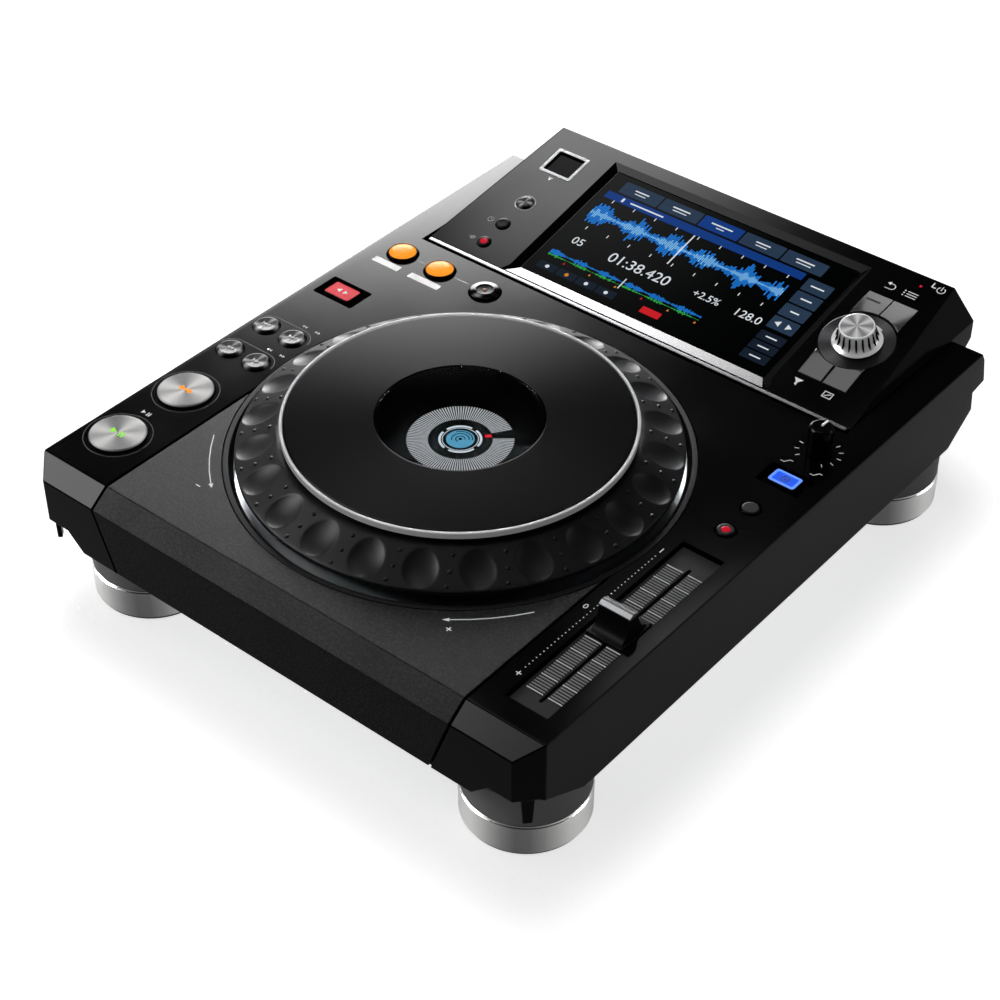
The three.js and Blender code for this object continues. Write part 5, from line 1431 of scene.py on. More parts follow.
@dataclass
class DeckControls(Assembly):
    """Buttons and keys of the deck, with the marks printed round them."""

    flange_foot: float = -6.3
    flange_top: float = -4.8
    key_rise: float = 0.5
    caps: dict[str, Cap] = field(default_factory=dict)
    keys: list[Key] = field(default_factory=list)

    def __post_init__(self) -> None:
        """Reads where the caps stand off their CAD nodes."""
        for radius, play, names in (
            (8.4, 0.6, ("loop_in", "loop_out", "reloop")),
            (7.0, 0.5, ("track_back", "track_forward", "search_back", "search_forward")),
            (14.4, 0.5, ("cue", "play")),
            (4.5, 1.0, ("tempo_range", "master_tempo")),
        ):
            for name in names:
                at = self.frames.middle(f"{name}_button")
                self.caps[name] = Cap(name, at.x, at.y, radius, play)
        for name, sizes in {"direction": (26.7, 17.4, 17.0, 11.1), "jog_mode": (24.3, 15.5, 15.0, 10.0)}.items():
            at = self.frames.middle(f"{name}_button")
            self.keys.append(Key(name, at.x, at.y, *sizes))

    def turned(
        self, cap: Cap, suffix: str, outline: Outline, finish: Finish, slot: Slot = Slot.SATIN,
        nodes: Sequence[str] = (),
    ) -> None:
        """Turns one piece of a cap."""
        solid = Solid().lathe(soften(outline), 96, cap.x, cap.y)
        self.put(f"{cap.name}_{suffix}", solid, finish, slot, cap.name, nodes)

    def flanged(self, cap: Cap, suffix: str, finish: Finish, *top: Sequence[float], slot: Slot = Slot.SATIN) -> None:
        """Turns the piece of a cap that has the flange under the deck and stands for the CAD node."""
        flange = cap.radius + cap.play + 0.7
        foot = [(0, self.flange_foot), (flange, self.flange_foot, 0.2), (flange, self.flange_top, 0.2)]
        outline = [*foot, (cap.radius, self.flange_top), *top]
        self.turned(cap, suffix, outline, finish, slot, [f"{cap.name}_button"])

    def metal_caps(self) -> None:
        """Cue and play: turned metal discs in a black rim, each with its lit sign."""
        cue, play = self.caps["cue"], self.caps["play"]
        for cap in (cue, play):
            rim = cap.radius
            self.flanged(cap, "rim", SATIN_ABS, (rim, 0.9, 0.3), (14.1, 1.1, 0.1), (14.0, 0.8), (0, 0.8))
            disc = [(0, 0.8), (13.95, 0.8), (13.95, 1.2, 0.3), (13.3, 1.6, 0.3), (6, 1.5, 1), (0, 1.45)]
            self.turned(cap, "disc", disc, DISC_ALUMINIUM, Slot.ALUMINIUM)
            self.put(f"{cap.name}_circle", Solid().arc(16.75, 0, 356, 0.35, cap.x, cap.y), BLACK_INK)
        lamp = Solid().cushion(cue.x, cue.y, 8.0, 1.3, 1.3, 1.6, 0.5, 0.08)
        for shift in (-2.6, 2.6):
            lamp.cushion(cue.x + shift, cue.y, 1.3, 3.2, 1.3, 1.6, 0.4, 0.08)
        self.put("cue_lamp", lamp, AMBER_LAMP, Slot.AMBER, "cue")
        icon = Solid()
        icon.plate([(play.x - 4.4, play.y - 1.9), (play.x - 0.6, play.y), (play.x - 4.4, play.y + 1.9)], 1.3, 1.6)
        for shift in (1.6, 3.4):
            icon.plate(rectangle(play.x + shift, play.y, 1.0, 3.6), 1.3, 1.6)
        self.put("play_lamp", icon, GREEN_LAMP, Slot.GREY, "play")

    def spun_caps(self) -> None:
        """Track and search: small black turned discs with a printed arrow each."""
        for name in ("track_back", "track_forward", "search_back", "search_forward"):
            cap, way = self.caps[name], -1 if name.endswith("back") else 1
            self.flanged(cap, "cap", DARK_SPUN, (cap.radius, 0.9, 0.8), (5.9, 1.5, 0.4), (3, 1.25, 1), (0, 1.15))
            icon = Solid()
            for shift in (-1.1, 0.9):
                back, tip = cap.x + way * shift - way * 0.9, cap.x + way * shift + way * 0.9
                icon.plate([(back, cap.y - 1.1), (tip, cap.y), (back, cap.y + 1.1)], 1.0, 1.5)
            if name.startswith("track"):
                icon.plate(rectangle(cap.x + way * 2.25, cap.y, 0.45, 2.2), 1.0, 1.5)
            self.put(f"{name}_arrow", icon, WHITE_INK, body=name)

    def lamp_caps(self) -> None:
        """Loop in and out: lit amber domes in black collars; reloop: a dark cap with an unlit bead given a painted
        glint.
        """
        for name in ("loop_in", "loop_out", "reloop"):
            cap, lit = self.caps[name], name != "reloop"
            radius = 7.4 if lit else 4.2
            top = ((cap.radius, 1.4, 0.8), (radius + 0.3, 2.0, 0.4), (radius, 1.2), (0, 1.2))
            self.flanged(cap, "collar", PIANO_ABS, *top)
            if lit:
                dome = [(0, 1.2), (7.3, 1.2), (7.3, 1.7, 0.5), (5.6, 2.3, 1.5), (2.5, 2.5, 1.5), (0, 2.5)]
                self.turned(cap, "dome", dome, AMBER_LAMP, Slot.AMBER)
                continue
            ring = [(4.3, 1.2), (5.0, 1.2), (5.0, 2.2, 0.3), (4.3, 2.1, 0.2)]
            self.turned(cap, "ring", ring, SKIRT_SPUN, Slot.CHROME)
            self.turned(cap, "dish", [(0, 1.2), (4.2, 1.2), (4.2, 1.6, 0.2), (2, 1.4, 0.8), (0, 1.35)], SATIN_ABS)
            bead = [(0, 1.35), (1.3, 1.35), (1.2, 1.7, 0.3), (0, 1.9)]
            self.turned(cap, "bead", bead, AMBER_PAINTED_GLINT, Slot.AMBER)

    def small_caps(self) -> None:
        """Tempo range and master tempo: small round caps, the second lit red."""
        for name, slot in (("tempo_range", Slot.SATIN), ("master_tempo", Slot.RED)):
            cap = self.caps[name]
            self.flanged(cap, "cap", SATIN_ABS, (cap.radius, 0.5, 0.4), (3.7, 0.9, 0.3), (0, 0.8), slot=slot)
        bead = [(0, 0.7), (2.2, 0.7), (2.1, 0.95, 0.3), (0, 1.05)]
        self.turned(cap, "lamp", bead, RED_LAMP, Slot.RED)

    def wide_key(self, key: Key) -> None:
        """Direction or jog mode: a wide cap lit from behind, over a flange that closes the recess."""
        red = key.name == "direction"
        slot, lamp, bright = (Slot.RED, RED_LAMP, RED_BRIGHT) if red else (Slot.BLUE, BLUE_LAMP, BLUE_BRIGHT)
        x, y, foot, top, rise = key.x, key.y, self.flange_foot, self.flange_top, self.key_rise
        flange = Solid().cushion(x, y, key.recess_x + 3.2, key.recess_y + 3.2, foot, top, 1, 0.2)
        self.put(f"{key.name}_flange", flange, SATIN_ABS, body=key.name)
        cap = Solid().cushion(x, y, key.cap_x, key.cap_y, top, rise, 1.4, 0.7)
        self.put(f"{key.name}_cap", cap, SATIN_ABS, body=key.name, nodes=[f"{key.name}_button"])
        outer = rectangle(x, y, key.cap_x - 0.8, key.cap_y - 0.8, 1.4)
        inner = rectangle(x, y, key.cap_x - 3.4, key.cap_y - 3.4, 0.9)
        self.put(f"{key.name}_rim", Solid().frame(outer, inner, rise - 0.3, rise + 0.1), lamp, slot, key.name)
        sign, span = Solid(), (rise, rise + 0.1)
        if red:
            for way in (-1, 1):
                tip, back = x + way * 3.6, x + way * 1.2
                sign.plate([(back, y - 1.5), (tip, y), (back, y + 1.5)], *span)
        else:
            sign.frame(ellipse(x, y, 2.2, 2.2), ellipse(x, y, 1.6, 1.6), *span)
            sign.plate(circle(0.6, 12, x, y), *span)
        self.put(f"{key.name}_sign", sign, WHITE_INK if red else BLACK_INK, slot, key.name)
        lens = Solid().cushion(x, y, key.cap_x - 3.2, key.cap_y - 3.2, rise - 0.3, rise + 0.05, 0.9, 0.1)
        self.put(f"{key.name}_lens", lens, bright, slot, key.name)

    def prints(self) -> None:
        """Label plates, joining lines, arrows and arcs printed on the deck."""
        white = Solid()
        for x0, x1 in ((-142.5, -124.7), (-117.6, -96.9)):
            white.plate(rectangle((x0 + x1) / 2, 222.7, x1 - x0, 4.6, 0.8), *PRINT)
        for x0, x1 in ((-122.6, -118.0), (-97.4, -87.0)):
            white.stroke([(x0, 235.4), (x1, 235.4)], 0.4)
        for side in (-1, 1):
            self.speed_arrow(white, side)
        self.play_marks(white)
        self.put("deck_prints", white, WHITE_INK)
        black, reach = Solid(), 9.2
        for row in ("track", "search"):
            a, b = self.caps[f"{row}_back"], self.caps[f"{row}_forward"]
            black.arc(reach, 175, 95, 0.5, a.x, a.y)
            black.stroke([(a.x - 0.8, a.y + reach), (b.x + 0.8, b.y + reach)], 0.5)
            black.arc(reach, 85, 5, 0.5, b.x, b.y)
        self.put("deck_shadow_lines", black, BLACK_INK)

    @staticmethod
    def speed_arrow(solid: Solid, side: int) -> None:
        """Arc with an arrowhead that shows which way the wheel slows or speeds the track."""
        centre_y, radius = 126.0, 119.0
        start, end = (214.0, 232.0) if side < 0 else (308.0, 326.0)
        solid.arc(radius, start, end, 0.5, 0, centre_y)
        tip = math.radians(end if side < 0 else start)
        foot = Vector((radius * math.cos(tip), centre_y + radius * math.sin(tip)))
        along = Vector((-math.sin(tip), math.cos(tip))) * -side
        out = Vector((math.cos(tip), math.sin(tip)))
        solid.plate([tuple(foot + along * 3.2), tuple(foot + out * 1.1), tuple(foot - out * 1.1)], *PRINT)
        sign = foot + out * 6
        solid.stroke([(sign.x - 1.4, sign.y), (sign.x + 1.4, sign.y)], 0.5)
        if side > 0:
            solid.stroke([(sign.x, sign.y - 1.4), (sign.x, sign.y + 1.4)], 0.5)

    @staticmethod
    def play_marks(solid: Solid) -> None:
        """Play and pause signs over the play button, and arrows over the search rows."""
        x, y = -136.5, 50.5
        solid.plate([(x - 2.4, y - 1.3), (x, y), (x - 2.4, y + 1.3)], *PRINT)
        for shift in (1.4, 2.7):
            solid.plate(rectangle(x + shift, y, 0.7, 2.6), *PRINT)
        for y in (152.6, 126.6):
            for side in (-1, 1):
                for shift in (0.0, 1.7):
                    tip = -122.5 + side * 3.2 + side * (1.2 + shift)
                    back = tip - side * 1.5
                    solid.plate([(back, y - 0.9), (tip, y), (back, y + 0.9)], *PRINT)

    def build(self) -> None:
        """Builds every control of the deck's left side and the two wide keys."""
        self.metal_caps()
        self.spun_caps()
        self.lamp_caps()
        self.small_caps()
        for key in self.keys:
            self.wide_key(key)
        self.prints()


@dataclass
class TempoSide(Assembly):
    """Tempo slider with its striped plate, its dotted scale, and the tempo knob."""

    x: float = 132.35
    front: float = 12.2
    back: float = 139.4
    width: float = 22.9
    drop: float = 2.9
    foot: float = 6.3
    slot_x: float = 133.3
    slot_width: float = 1.8
    slot_front: float = 20.0
    slot_back: float = 128.0
    first_rib: float = 24.0
    last_rib: float = 124.0
    pitch: float = 10 / 6
    cap_y: float = 75.2
    cap_half: float = 8.55
    knob_x: float = 132.5
    knob_y: float = 233.0

    def plate(self) -> None:
        """Tray with its slot."""
        middle, length = (self.front + self.back) / 2, self.back - self.front
        tray = Solid().cushion(self.x, middle, self.width - 0.6, length - 0.6, -self.foot, -self.drop, 0.8, 0.15)
        piece = tray.piece("tempo_plate", self.place)
        flange = Solid().cushion(self.x, middle, self.width + 3.6, length + 3.6, -self.foot, -4.8, 0.8, 0.15)
        self.change(piece, flange, "UNION")
        slot_length = self.slot_back - self.slot_front
        outline = rectangle(self.slot_x, (self.slot_front + self.slot_back) / 2, self.slot_width, slot_length, 0.8)
        self.change(piece, Solid().plate(outline, -self.foot - 4, 4))
        dressed(piece, SCALE_ABS, Body.ROOT, ["slider_plate"])

    def ribs(self) -> None:
        """Black beds on both sides of the slot, their grey ribs and the longer white ones."""
        first, last, low = self.first_rib, self.last_rib, -self.drop - 0.1
        beds = Solid()
        for x0, x1 in ((122.8, 131.9), (134.7, 142.3)):
            bed = rectangle((x0 + x1) / 2, (first + last) / 2, x1 - x0, last - first + 1)
            beds.plate(bed, low, 0.06 - self.drop)
        self.put("tempo_beds", beds, BLACK_INK, Slot.GREY)
        count, step = round((last - first) / self.pitch), (0, self.pitch, 0)
        for side, x0, x1 in (("left", 123.2, 131.6), ("right", 135.0, 142.0)):
            rib = Solid().cushion((x0 + x1) / 2, first, x1 - x0, 0.75, low, 0.42 - self.drop, 0.1, 0.1)
            self.repeat(f"tempo_ribs_{side}", rib, Copies.ROW, count, RIB_ABS, Slot.GREY, step=step)
        bars = Solid()
        for i in range(11):
            y, wide = first + i * (last - first) / 10, 8.8 if i != 5 else 9.6
            for x0, x1 in ((131.9 - wide, 131.9), (134.7, 134.7 + wide - 1.2)):
                bars.cushion((x0 + x1) / 2, y, x1 - x0, 0.42, low, 0.56 - self.drop, 0.15, 0.1)
        self.put("tempo_major_ribs", bars, WHITE_INK, Slot.GREY)

    def bar(self, outline: Outline, inset: float) -> Solid:
        """Bar across the slider's cap, with an outline of places from its middle and heights."""
        path = [(self.cap_y + p[0], *p[1:]) for p in outline]
        reach = self.cap_half - inset
        return Solid().along(soften(path), "x", self.x - reach, self.x + reach)

    def cap(self) -> None:
        """Cap of the slider: hollow flanks up to a silver ridge with a white line."""
        foot, top = -2.3, -0.7
        outline = [
            (-9.0, foot), (-9.0, top), (-7.2, -0.1), (-5.6, 1.5), (-4.4, 3.9), (-3.6, 6.9), (-3.0, 10.4),
            (3.0, 10.4), (3.6, 6.9), (4.6, 3.9), (6.2, 1.5), (8.6, -0.1), (10.8, top), (10.8, foot),
        ]
        piece = self.bar(outline, 0.0).piece("tempo_cap", self.place)
        rounded(piece, 0.4, angle=40)
        self.change(piece, Solid().cushion(self.x, self.cap_y + 0.9, 20, 22.2, foot, top, 0.8, 0.5), "UNION")
        self.change(piece, Solid().plate(rectangle(self.slot_x, self.cap_y, 1.2, 8), -9.5, top), "UNION")
        dressed(piece, SATIN_ABS, Body.SLIDER, ["slider_cap"], smooth=40)
        ridge = [(-3.0, 10.2), (-3.0, 11.0), (-1.2, 12.0, 0.5), (0.6, 12.2, 0.5), (2.9, 11.2, 0.6), (3.0, 10.2)]
        piece = self.bar(ridge, 0.1).piece("tempo_cap_ridge", self.place)
        rounded(piece, 0.15, angle=40)
        dressed(piece, RIDGE_ABS, Body.SLIDER)
        line = [(-3.05, 10.85), (-1.15, 11.9), (-1.0, 12.15), (-1.6, 12.0), (-3.1, 11.2)]
        self.put("tempo_cap_line", self.bar(line, 0.2), WHITE_FRAME, body=Body.SLIDER)

    def scale(self) -> None:
        """Dotted scale beside the slider, with its plus, nought and minus."""
        dot = Solid().plate(circle(0.32, 8, 117.3, 30.4), *PRINT)
        self.repeat("tempo_dots", dot, Copies.ROW, 38, WHITE_INK, step=(0, 2.5, 0))
        signs = Solid()
        signs.stroke([(115.9, 25.8), (118.7, 25.8)], 0.5).stroke([(117.3, 24.4), (117.3, 27.2)], 0.5)
        signs.stroke([(117.3, 126.2), (117.3, 129.4)], 0.5)
        signs.frame(ellipse(113.6, 76.8, 1.1, 1.5), ellipse(113.6, 76.8, 0.65, 1.05), *PRINT)
        self.put("tempo_signs", signs, WHITE_INK)

    def knob(self) -> None:
        """Tempo knob: ribbed satin barrel with a pointer, and its ring of ticks."""
        outline = [
            (0, -12), (3, -12, 0.2), (3, 0.8), (6.3, 0.8, 0.4), (6.0, 14.5, 0.3), (5.2, 15.5, 0.4), (0, 15.4)
        ]
        barrel = Solid().lathe(soften(outline), 72, self.knob_x, self.knob_y)
        self.put("speed_knob_barrel", barrel, PIANO_ABS, body=Body.SPEED, nodes=["speed_knob"])
        rib = Solid().hull(
            [(5.9, -0.28, 2), (5.9, 0.28, 2), (6.4, 0, 2.2), (5.7, -0.25, 13.6), (5.7, 0.25, 13.6), (6.15, 0, 13.4)]
        )
        at = self.place @ Matrix.Translation((self.knob_x, self.knob_y, 0))
        self.repeat("speed_knob_ribs", rib, Copies.RING, 30, SATIN_ABS, body=Body.SPEED, at=at, turn=12)
        pointer = Solid().cushion(0, 2.6, 1.1, 5.0, 15.2, 15.9, 0.3, 0.1)
        fall = ((5.0, 15.9), (5.0, 15.0), (6.35, 13.8), (6.5, 8.0), (5.9, 8.0))
        pointer.hull((x, y, z) for x in (-0.55, 0.55) for y, z in fall)
        self.put("speed_knob_pointer", pointer, WHITE_INK, body=Body.SPEED, at=at)
        tick = Solid().plate(rectangle(0, -10.6, 0.45, 2.2), *PRINT)
        self.repeat("speed_ticks", tick, Copies.RING, 11, WHITE_INK, at=at @ spin(40), turn=28)
        ramps = Solid()
        for x in (self.knob_x - 8.2, self.knob_x + 8.2):
            ramps.stroke([(x - 2.5, 216.5), (x - 0.5, 216.5), (x + 1.2, 219.2), (x + 2.8, 219.2)], 0.45)
        self.put("speed_ramp_marks", ramps, WHITE_INK)

    def build(self) -> None:
        """Builds the slider, its scale and the knob."""
        self.plate()
        self.ribs()
        self.cap()
        self.scale()
        self.knob()


@dataclass
class Housing(Assembly):
    """Display housing: shell, bright bar, screen, stick slot, small buttons, four keys and the browse knob."""

    half: float = 134.8
    front_inset: float = 0.4
    back_inset: float = 8.8
    front: float = 258.2
    back: float = 364.885
    rear: float = 374.585
    back_rise: float = 22.3
    front_drop: float = 1.0
    rear_rise: float = 0.7
    rear_drop: float = 10.0
    lip_inset: float = 7.6
    foot: float = 16.5
    plate: float = 4.0
    wall: float = 3.0
    floor: float = 2.5
    recess_half: float = 82.5
    recess_front: float = 1.0
    recess_back: float = 100.0
    recess_depth: float = 2.5
    recess_slope: float = 4.5
    glass_half: float = 77.5
    glass_front: float = 8.9
    glass_back: float = 95.9
    key_x: float = 104.95
    key_half: float = 14.05
    key_front: float = 19.3
    key_back: float = 85.4
    browse_s: float = 51.5
    usb_x: float = -105.9
    usb_front: float = 75.5
    usb_back: float = 91.6
    usb_width: float = 17.4
    small_x: float = -105.4
    small: tuple = (("usb_stop", 47.9, 4.45), ("time_mode", 28.3, 3.95), ("quantize", 11.9, 3.75))

    @property
    def place(self) -> Matrix:
        """From the sloping plate's millimetres to the part's metres."""
        return self.frames.plate

    def corners(self, inset: float, under: float) -> list[tuple[float, float, float]]:
        """Corners of the housing, or of its cavity where inset is above 0."""
        slope = (self.back_rise + self.front_drop) / (self.back - self.front)

        def top(y: float) -> float:
            """Height of the plate over a place along y, less what the cavity leaves."""
            return (y - self.front) * slope - self.front_drop - under

        half, y0, y1, y2 = self.half - inset, self.front + inset, self.back - inset, self.rear - inset
        lift = self.floor if inset else 0.0
        right = [
            (half - self.front_inset, y0, top(y0)),
            (half - self.back_inset, y1, top(y1)),
            (half, y2, self.rear_rise - inset),
            (half, y2, lift - self.rear_drop),
            (half, self.rear - self.lip_inset - inset, lift - self.foot),
            (half, y0, lift - self.foot),
        ]
        return [(side * x, y, z) for side in (-1, 1) for x, y, z in right]

    def shell(self) -> None:
        """Housing with rounded edges and all its openings."""
        deck = self.frames.deck
        piece = rounded(Solid().hull(self.corners(0, 0)).piece("housing_shell", deck), 0.8, segments=5)
        under = self.plate / math.cos(math.atan2(23.3, 106.7))
        self.change(piece, Solid().hull(self.corners(self.wall, under)), at=deck)
        mouth = rectangle(0, 302.5, 2 * (self.half - self.wall), 84)
        self.change(piece, Solid().plate(mouth, -self.foot - 4, -self.rear_drop), at=deck)
        self.change(piece, self.recess(3.0))
        middle, length = (self.glass_front + self.glass_back) / 2, self.glass_back - self.glass_front + 0.6
        self.change(piece, Solid().plate(rectangle(0, middle, 2 * self.glass_half + 0.6, length), -8, 4))
        rest = Solid()
        middle, length = (self.key_front + self.key_back) / 2, self.key_back - self.key_front + 0.6
        rest.plate(rectangle(self.key_x, middle, 2 * self.key_half + 0.6, length, 1.0), -8, 4)
        middle, length = (self.usb_front + self.usb_back) / 2, self.usb_back - self.usb_front
        rest.plate(rectangle(self.usb_x, middle, self.usb_width, length, 0.6), -8, 4)
        for _, s, radius in self.small:
            rest.plate(circle(radius + 0.4, 48, self.small_x, s), -8, 4)
        self.change(piece, rest)
        dressed(piece, PIANO_ABS, Body.ROOT, ["display_housing"], smooth=20)

    def recess(self, over: float) -> Solid:
        """Sloping recess round the screen, up to a height over the plate."""
        front, glass, back = self.recess_front, self.glass_front, self.recess_back
        spread = self.recess_slope * over / self.recess_depth
        inner, inner_back = self.recess_half - self.recess_slope, back - self.recess_slope
        wide, far, half = self.recess_half + spread, back + spread, self.recess_half
        floor = [
            (-half, front), (half, front), (inner, glass), (inner, inner_back), (-inner, inner_back), (-inner, glass),
        ]
        mouth = [(-wide, front), (wide, front), (wide, glass), (wide, far), (-wide, far), (-wide, glass)]
        return Solid().loft([[(*p, n) for p in ring] for ring, n in ((floor, -self.recess_depth), (mouth, over))])

    def bar(self) -> None:
        """Bright bar in the gap in front of the housing."""
        bar = Solid().cushion(0, 256.75, 265.4, 2.3, -6.0, -0.3, 0.3, 0.3)
        self.put("bright_bar", bar, BAR_METAL, Slot.CHROME, nodes=["front_bar"], at=self.frames.deck)

    def stick_slot(self) -> None:
        """Pale frame, sprung lid and small arrow of the memory stick slot."""
        x, middle = self.usb_x, (self.usb_front + self.usb_back) / 2
        frame = Solid().frame(rectangle(x, middle, 21.4, 20.1, 1.6), rectangle(x, middle, 17.6, 16.3, 0.9), -0.3, 0.35)
        self.put("stick_frame", frame, WHITE_FRAME, Slot.GREY, edge=0.12)
        lid = Solid().cushion(x, middle, 16.8, 15.5, -2.4, -1.2, 0.7, 0.3)
        self.put("stick_lid", lid, LENS_BLACK, body=Body.LID, nodes=["usb_lid"])
        arrow = Solid().plate([(x - 1.6, 71.6), (x, 69.2), (x + 1.6, 71.6)], *PRINT)
        self.put("stick_arrow", arrow, WHITE_INK)

    def small_buttons(self) -> None:
        """Stick stop, time mode and quantize buttons."""
        x = self.small_x
        for name, s, radius in self.small:
            flange = radius + 1.6
            outline = [
                (0, -5.3), (flange, -5.3, 0.2), (flange, -4.3, 0.2), (radius, -4.3), (radius, 0.9, 0.4),
                (radius * 0.75, 1.2, 0.3), (0, 1.0),
            ]
            cap = Solid().lathe(soften(outline), 64, x, s)
            finish = DARK_SPUN if name == "usb_stop" else SATIN_ABS
            self.put(f"{name}_cap", cap, finish, body=name, nodes=[f"{name}_button"])
        bead = Solid().lathe(soften([(0, 0.9), (2.2, 0.9), (2.1, 1.25, 0.3), (0, 1.35)]), 32, x, s)
        self.put("quantize_lamp", bead, RED_LAMP, Slot.RED, name)
        self.put("stick_stop_circle", Solid().arc(5.7, 0, 357, 0.5, x, 47.9), GREY_INK)

    def screen(self) -> None:
        """Cover glass, silver trim and the lit picture."""
        middle = (self.glass_front + self.glass_back) / 2
        glass = Solid().cushion(0, middle, 155, self.glass_back - self.glass_front, -4, -2.5, 0.5, 0.1)
        self.put("cover_glass", glass, LENS_BLACK, Slot.LENS, nodes=["display_glass"])
        end = ((82.2, 1.3, -2.5), (77.5, 8.4, -2.5), (77.5, 8.4, -2.15), (82.2, 1.3, -0.2))
        trim = Solid().hull([(side * x, s, n) for side in (-1, 1) for x, s, n in end])
        self.put("silver_trim", trim, TRIM_METAL, Slot.ALUMINIUM, nodes=["display_trim"], edge=0.1)
        ScreenPicture(self.frames).build()

    def keys(self) -> None:
        """Four glossy keys round the knob's skirt."""
        hole = circle(20.3, 96, self.key_x, self.browse_s)
        names = {"back": (-1, 1), "tag_track": (1, 1), "track_filter": (-1, -1), "shortcut": (1, -1)}
        for name, (side_x, side_s) in names.items():
            reach = sorted((self.key_x + side_x * 0.4, self.key_x + side_x * self.key_half))
            end = self.key_back if side_s > 0 else self.key_front
            inner = self.browse_s + side_s * 0.4
            ridge = inner + (end - inner) * 0.55
            outline = [(inner, -4.8), (inner, 0.2), (ridge, 1.58), (end, 0.14), (end, -4.8)]
            piece = Solid().along(outline, "x", *reach).piece(f"{name}_key", self.place)
            self.change(piece, Solid().plate(hole, -12, 8))
            rounded(piece, 0.4, angle=40)
            dressed(piece, KEY_ABS, name, [f"{name}_button"])
        slot = Solid().along([(79.0, 0.3), (80.4, 0.3), (80.4, 0.68), (79.0, 0.81)], "x", 92.4, 100.4)
        self.put("back_key_mark", slot, BLACK_INK, Slot.GREY, "back")

    def browse(self) -> None:
        """Smoked turned skirt with a painted highlight arc, and the fluted knob: white body, flutes painted dark."""
        x, s = self.key_x, self.browse_s
        skirt = [
            (3.3, -14, 0.2), (6, -14, 0.3), (6, 0.1), (19.5, 0.1), (19.5, 0.4, 0.1), (19.1, 0.6, 0.2), (14, 0.5, 0.3),
            (3.3, 0.45),
        ]
        ring = Solid().lathe(soften(skirt), 128, x, s)
        self.put("browse_skirt_ring", ring, SKIRT_SPUN, nodes=["browse_skirt"])
        knob = [
            (3.3, 1.4), (13.0, 1.4, 0.3), (12.9, 1.9, 0.3), (10.8, 3.2, 1.2), (9.7, 4.6, 0.8), (9.1, 10.9, 0.3),
            (8.7, 11.45, 0.2), (7.9, 11.4, 0.1), (0, 11.3), (0, 9.3), (3.3, 9.3),
        ]
        body = Solid().lathe(soften(knob), 144, x, s)
        self.put("browse_knob_body", body, KNOB_PAINTED_SHINE, Slot.CHROME, Body.BROWSE, ["browse_knob"])
        # Dark strips in the flutes: painted dark reflection of the chrome's grooves
        flute = (
            (9.0, 0.25, 3.0), (11.1, 0.2, 3.1), (9.9, 0.55, 4.8), (9.0, 0.55, 4.8), (9.24, 0.5, 9.8), (8.6, 0.5, 9.8),
            (9.16, 0.2, 10.6), (8.6, 0.2, 10.6),
        )
        groove = Solid().hull((r, side * t, z) for side in (-1, 1) for r, t, z in flute)
        at = self.place @ Matrix.Translation((x, s, 0))
        self.repeat(
            "browse_knob_dark_flute_strips", groove, Copies.RING, 18, SATIN_ABS, Slot.CHROME, Body.BROWSE, at=at, turn=20
        )
        top = [(0, 11.1), (8.3, 11.1), (8.3, 11.4, 0.1), (8.1, 11.5, 0.1), (0, 11.46)]
        self.put("browse_knob_top", Solid().lathe(soften(top), 96, x, s), TOP_ALUMINIUM, Slot.CHROME, Body.BROWSE)
        # Short white arc on the skirt: a painted highlight of its inner edge
        self.put("browse_skirt_painted_highlight", Solid().arc(14.0, 62, 82, 0.7, x, s, 0.4, 0.6), WHITE_INK)

    def marks(self) -> None:
        """Standby lamp, power sign and small icons on the plate."""
        lamp = Solid().lathe(soften([(0, -0.3), (0.8, -0.3), (0.75, 0.2, 0.2), (0, 0.35)]), 24, 110.9, 101.1)
        self.put("standby_lamp", lamp, RED_LAMP, Slot.RED)
        signs = Solid()
        signs.arc(2.1, 125, 415, 0.5, 121.2, 103.6)
        signs.stroke([(121.2, 103.4), (121.2, 106.4)], 0.5)
        signs.stroke([(115.8, 106.8), (115.8, 103.6), (118.0, 103.6)], 0.8)
        signs.arc(1.9, 270, 450, 0.45, 98.6, 93.4)
        signs.stroke([(98.6, 91.5), (95.4, 91.5)], 0.45)
        signs.stroke([(98.6, 95.3), (97.0, 95.3)], 0.45)
        signs.plate([(97.2, 94.1), (95.2, 95.3), (97.2, 96.5)], *PRINT)
        for i in range(3):
            signs.stroke([(107.5, 91.4 + 1.7 * i), (113.5, 91.4 + 1.7 * i)], 0.5)
            signs.plate(circle(0.45, 10, 106.0, 91.4 + 1.7 * i), *PRINT)
        funnel = [(92.0, 15.6), (97.2, 15.6), (95.2, 13.2), (95.2, 10.8), (94.0, 11.6), (94.0, 13.2)]
        signs.plate(funnel, *PRINT)
        signs.frame(rectangle(112.4, 13.4, 5.2, 4.2), rectangle(112.4, 13.4, 4.2, 3.2), *PRINT)
        signs.stroke([(110.8, 12.3), (113.9, 14.5)], 0.5)
        self.put("plate_signs", signs, WHITE_INK)
        clock, x = Solid(), self.small_x - 8.5
        clock.arc(1.7, 0, 354, 0.4, x, 28.3)
        clock.stroke([(x, 29.3), (x, 28.3), (x + 0.8, 28.3)], 0.35)
        for i, height in enumerate((1.2, 2.2, 1.6)):
            clock.plate(rectangle(x + (i - 1) * 1.2 + 0.1, 11.9, 0.6, height * 1.4), *PRINT)
        self.put("clock_and_beat_signs", clock, GREY_INK)

    def build(self) -> None:
        """Builds the whole housing."""
        self.shell()
        self.bar()
        self.stick_slot()
        self.small_buttons()
        self.screen()
        self.keys()
        self.browse()
        self.marks()


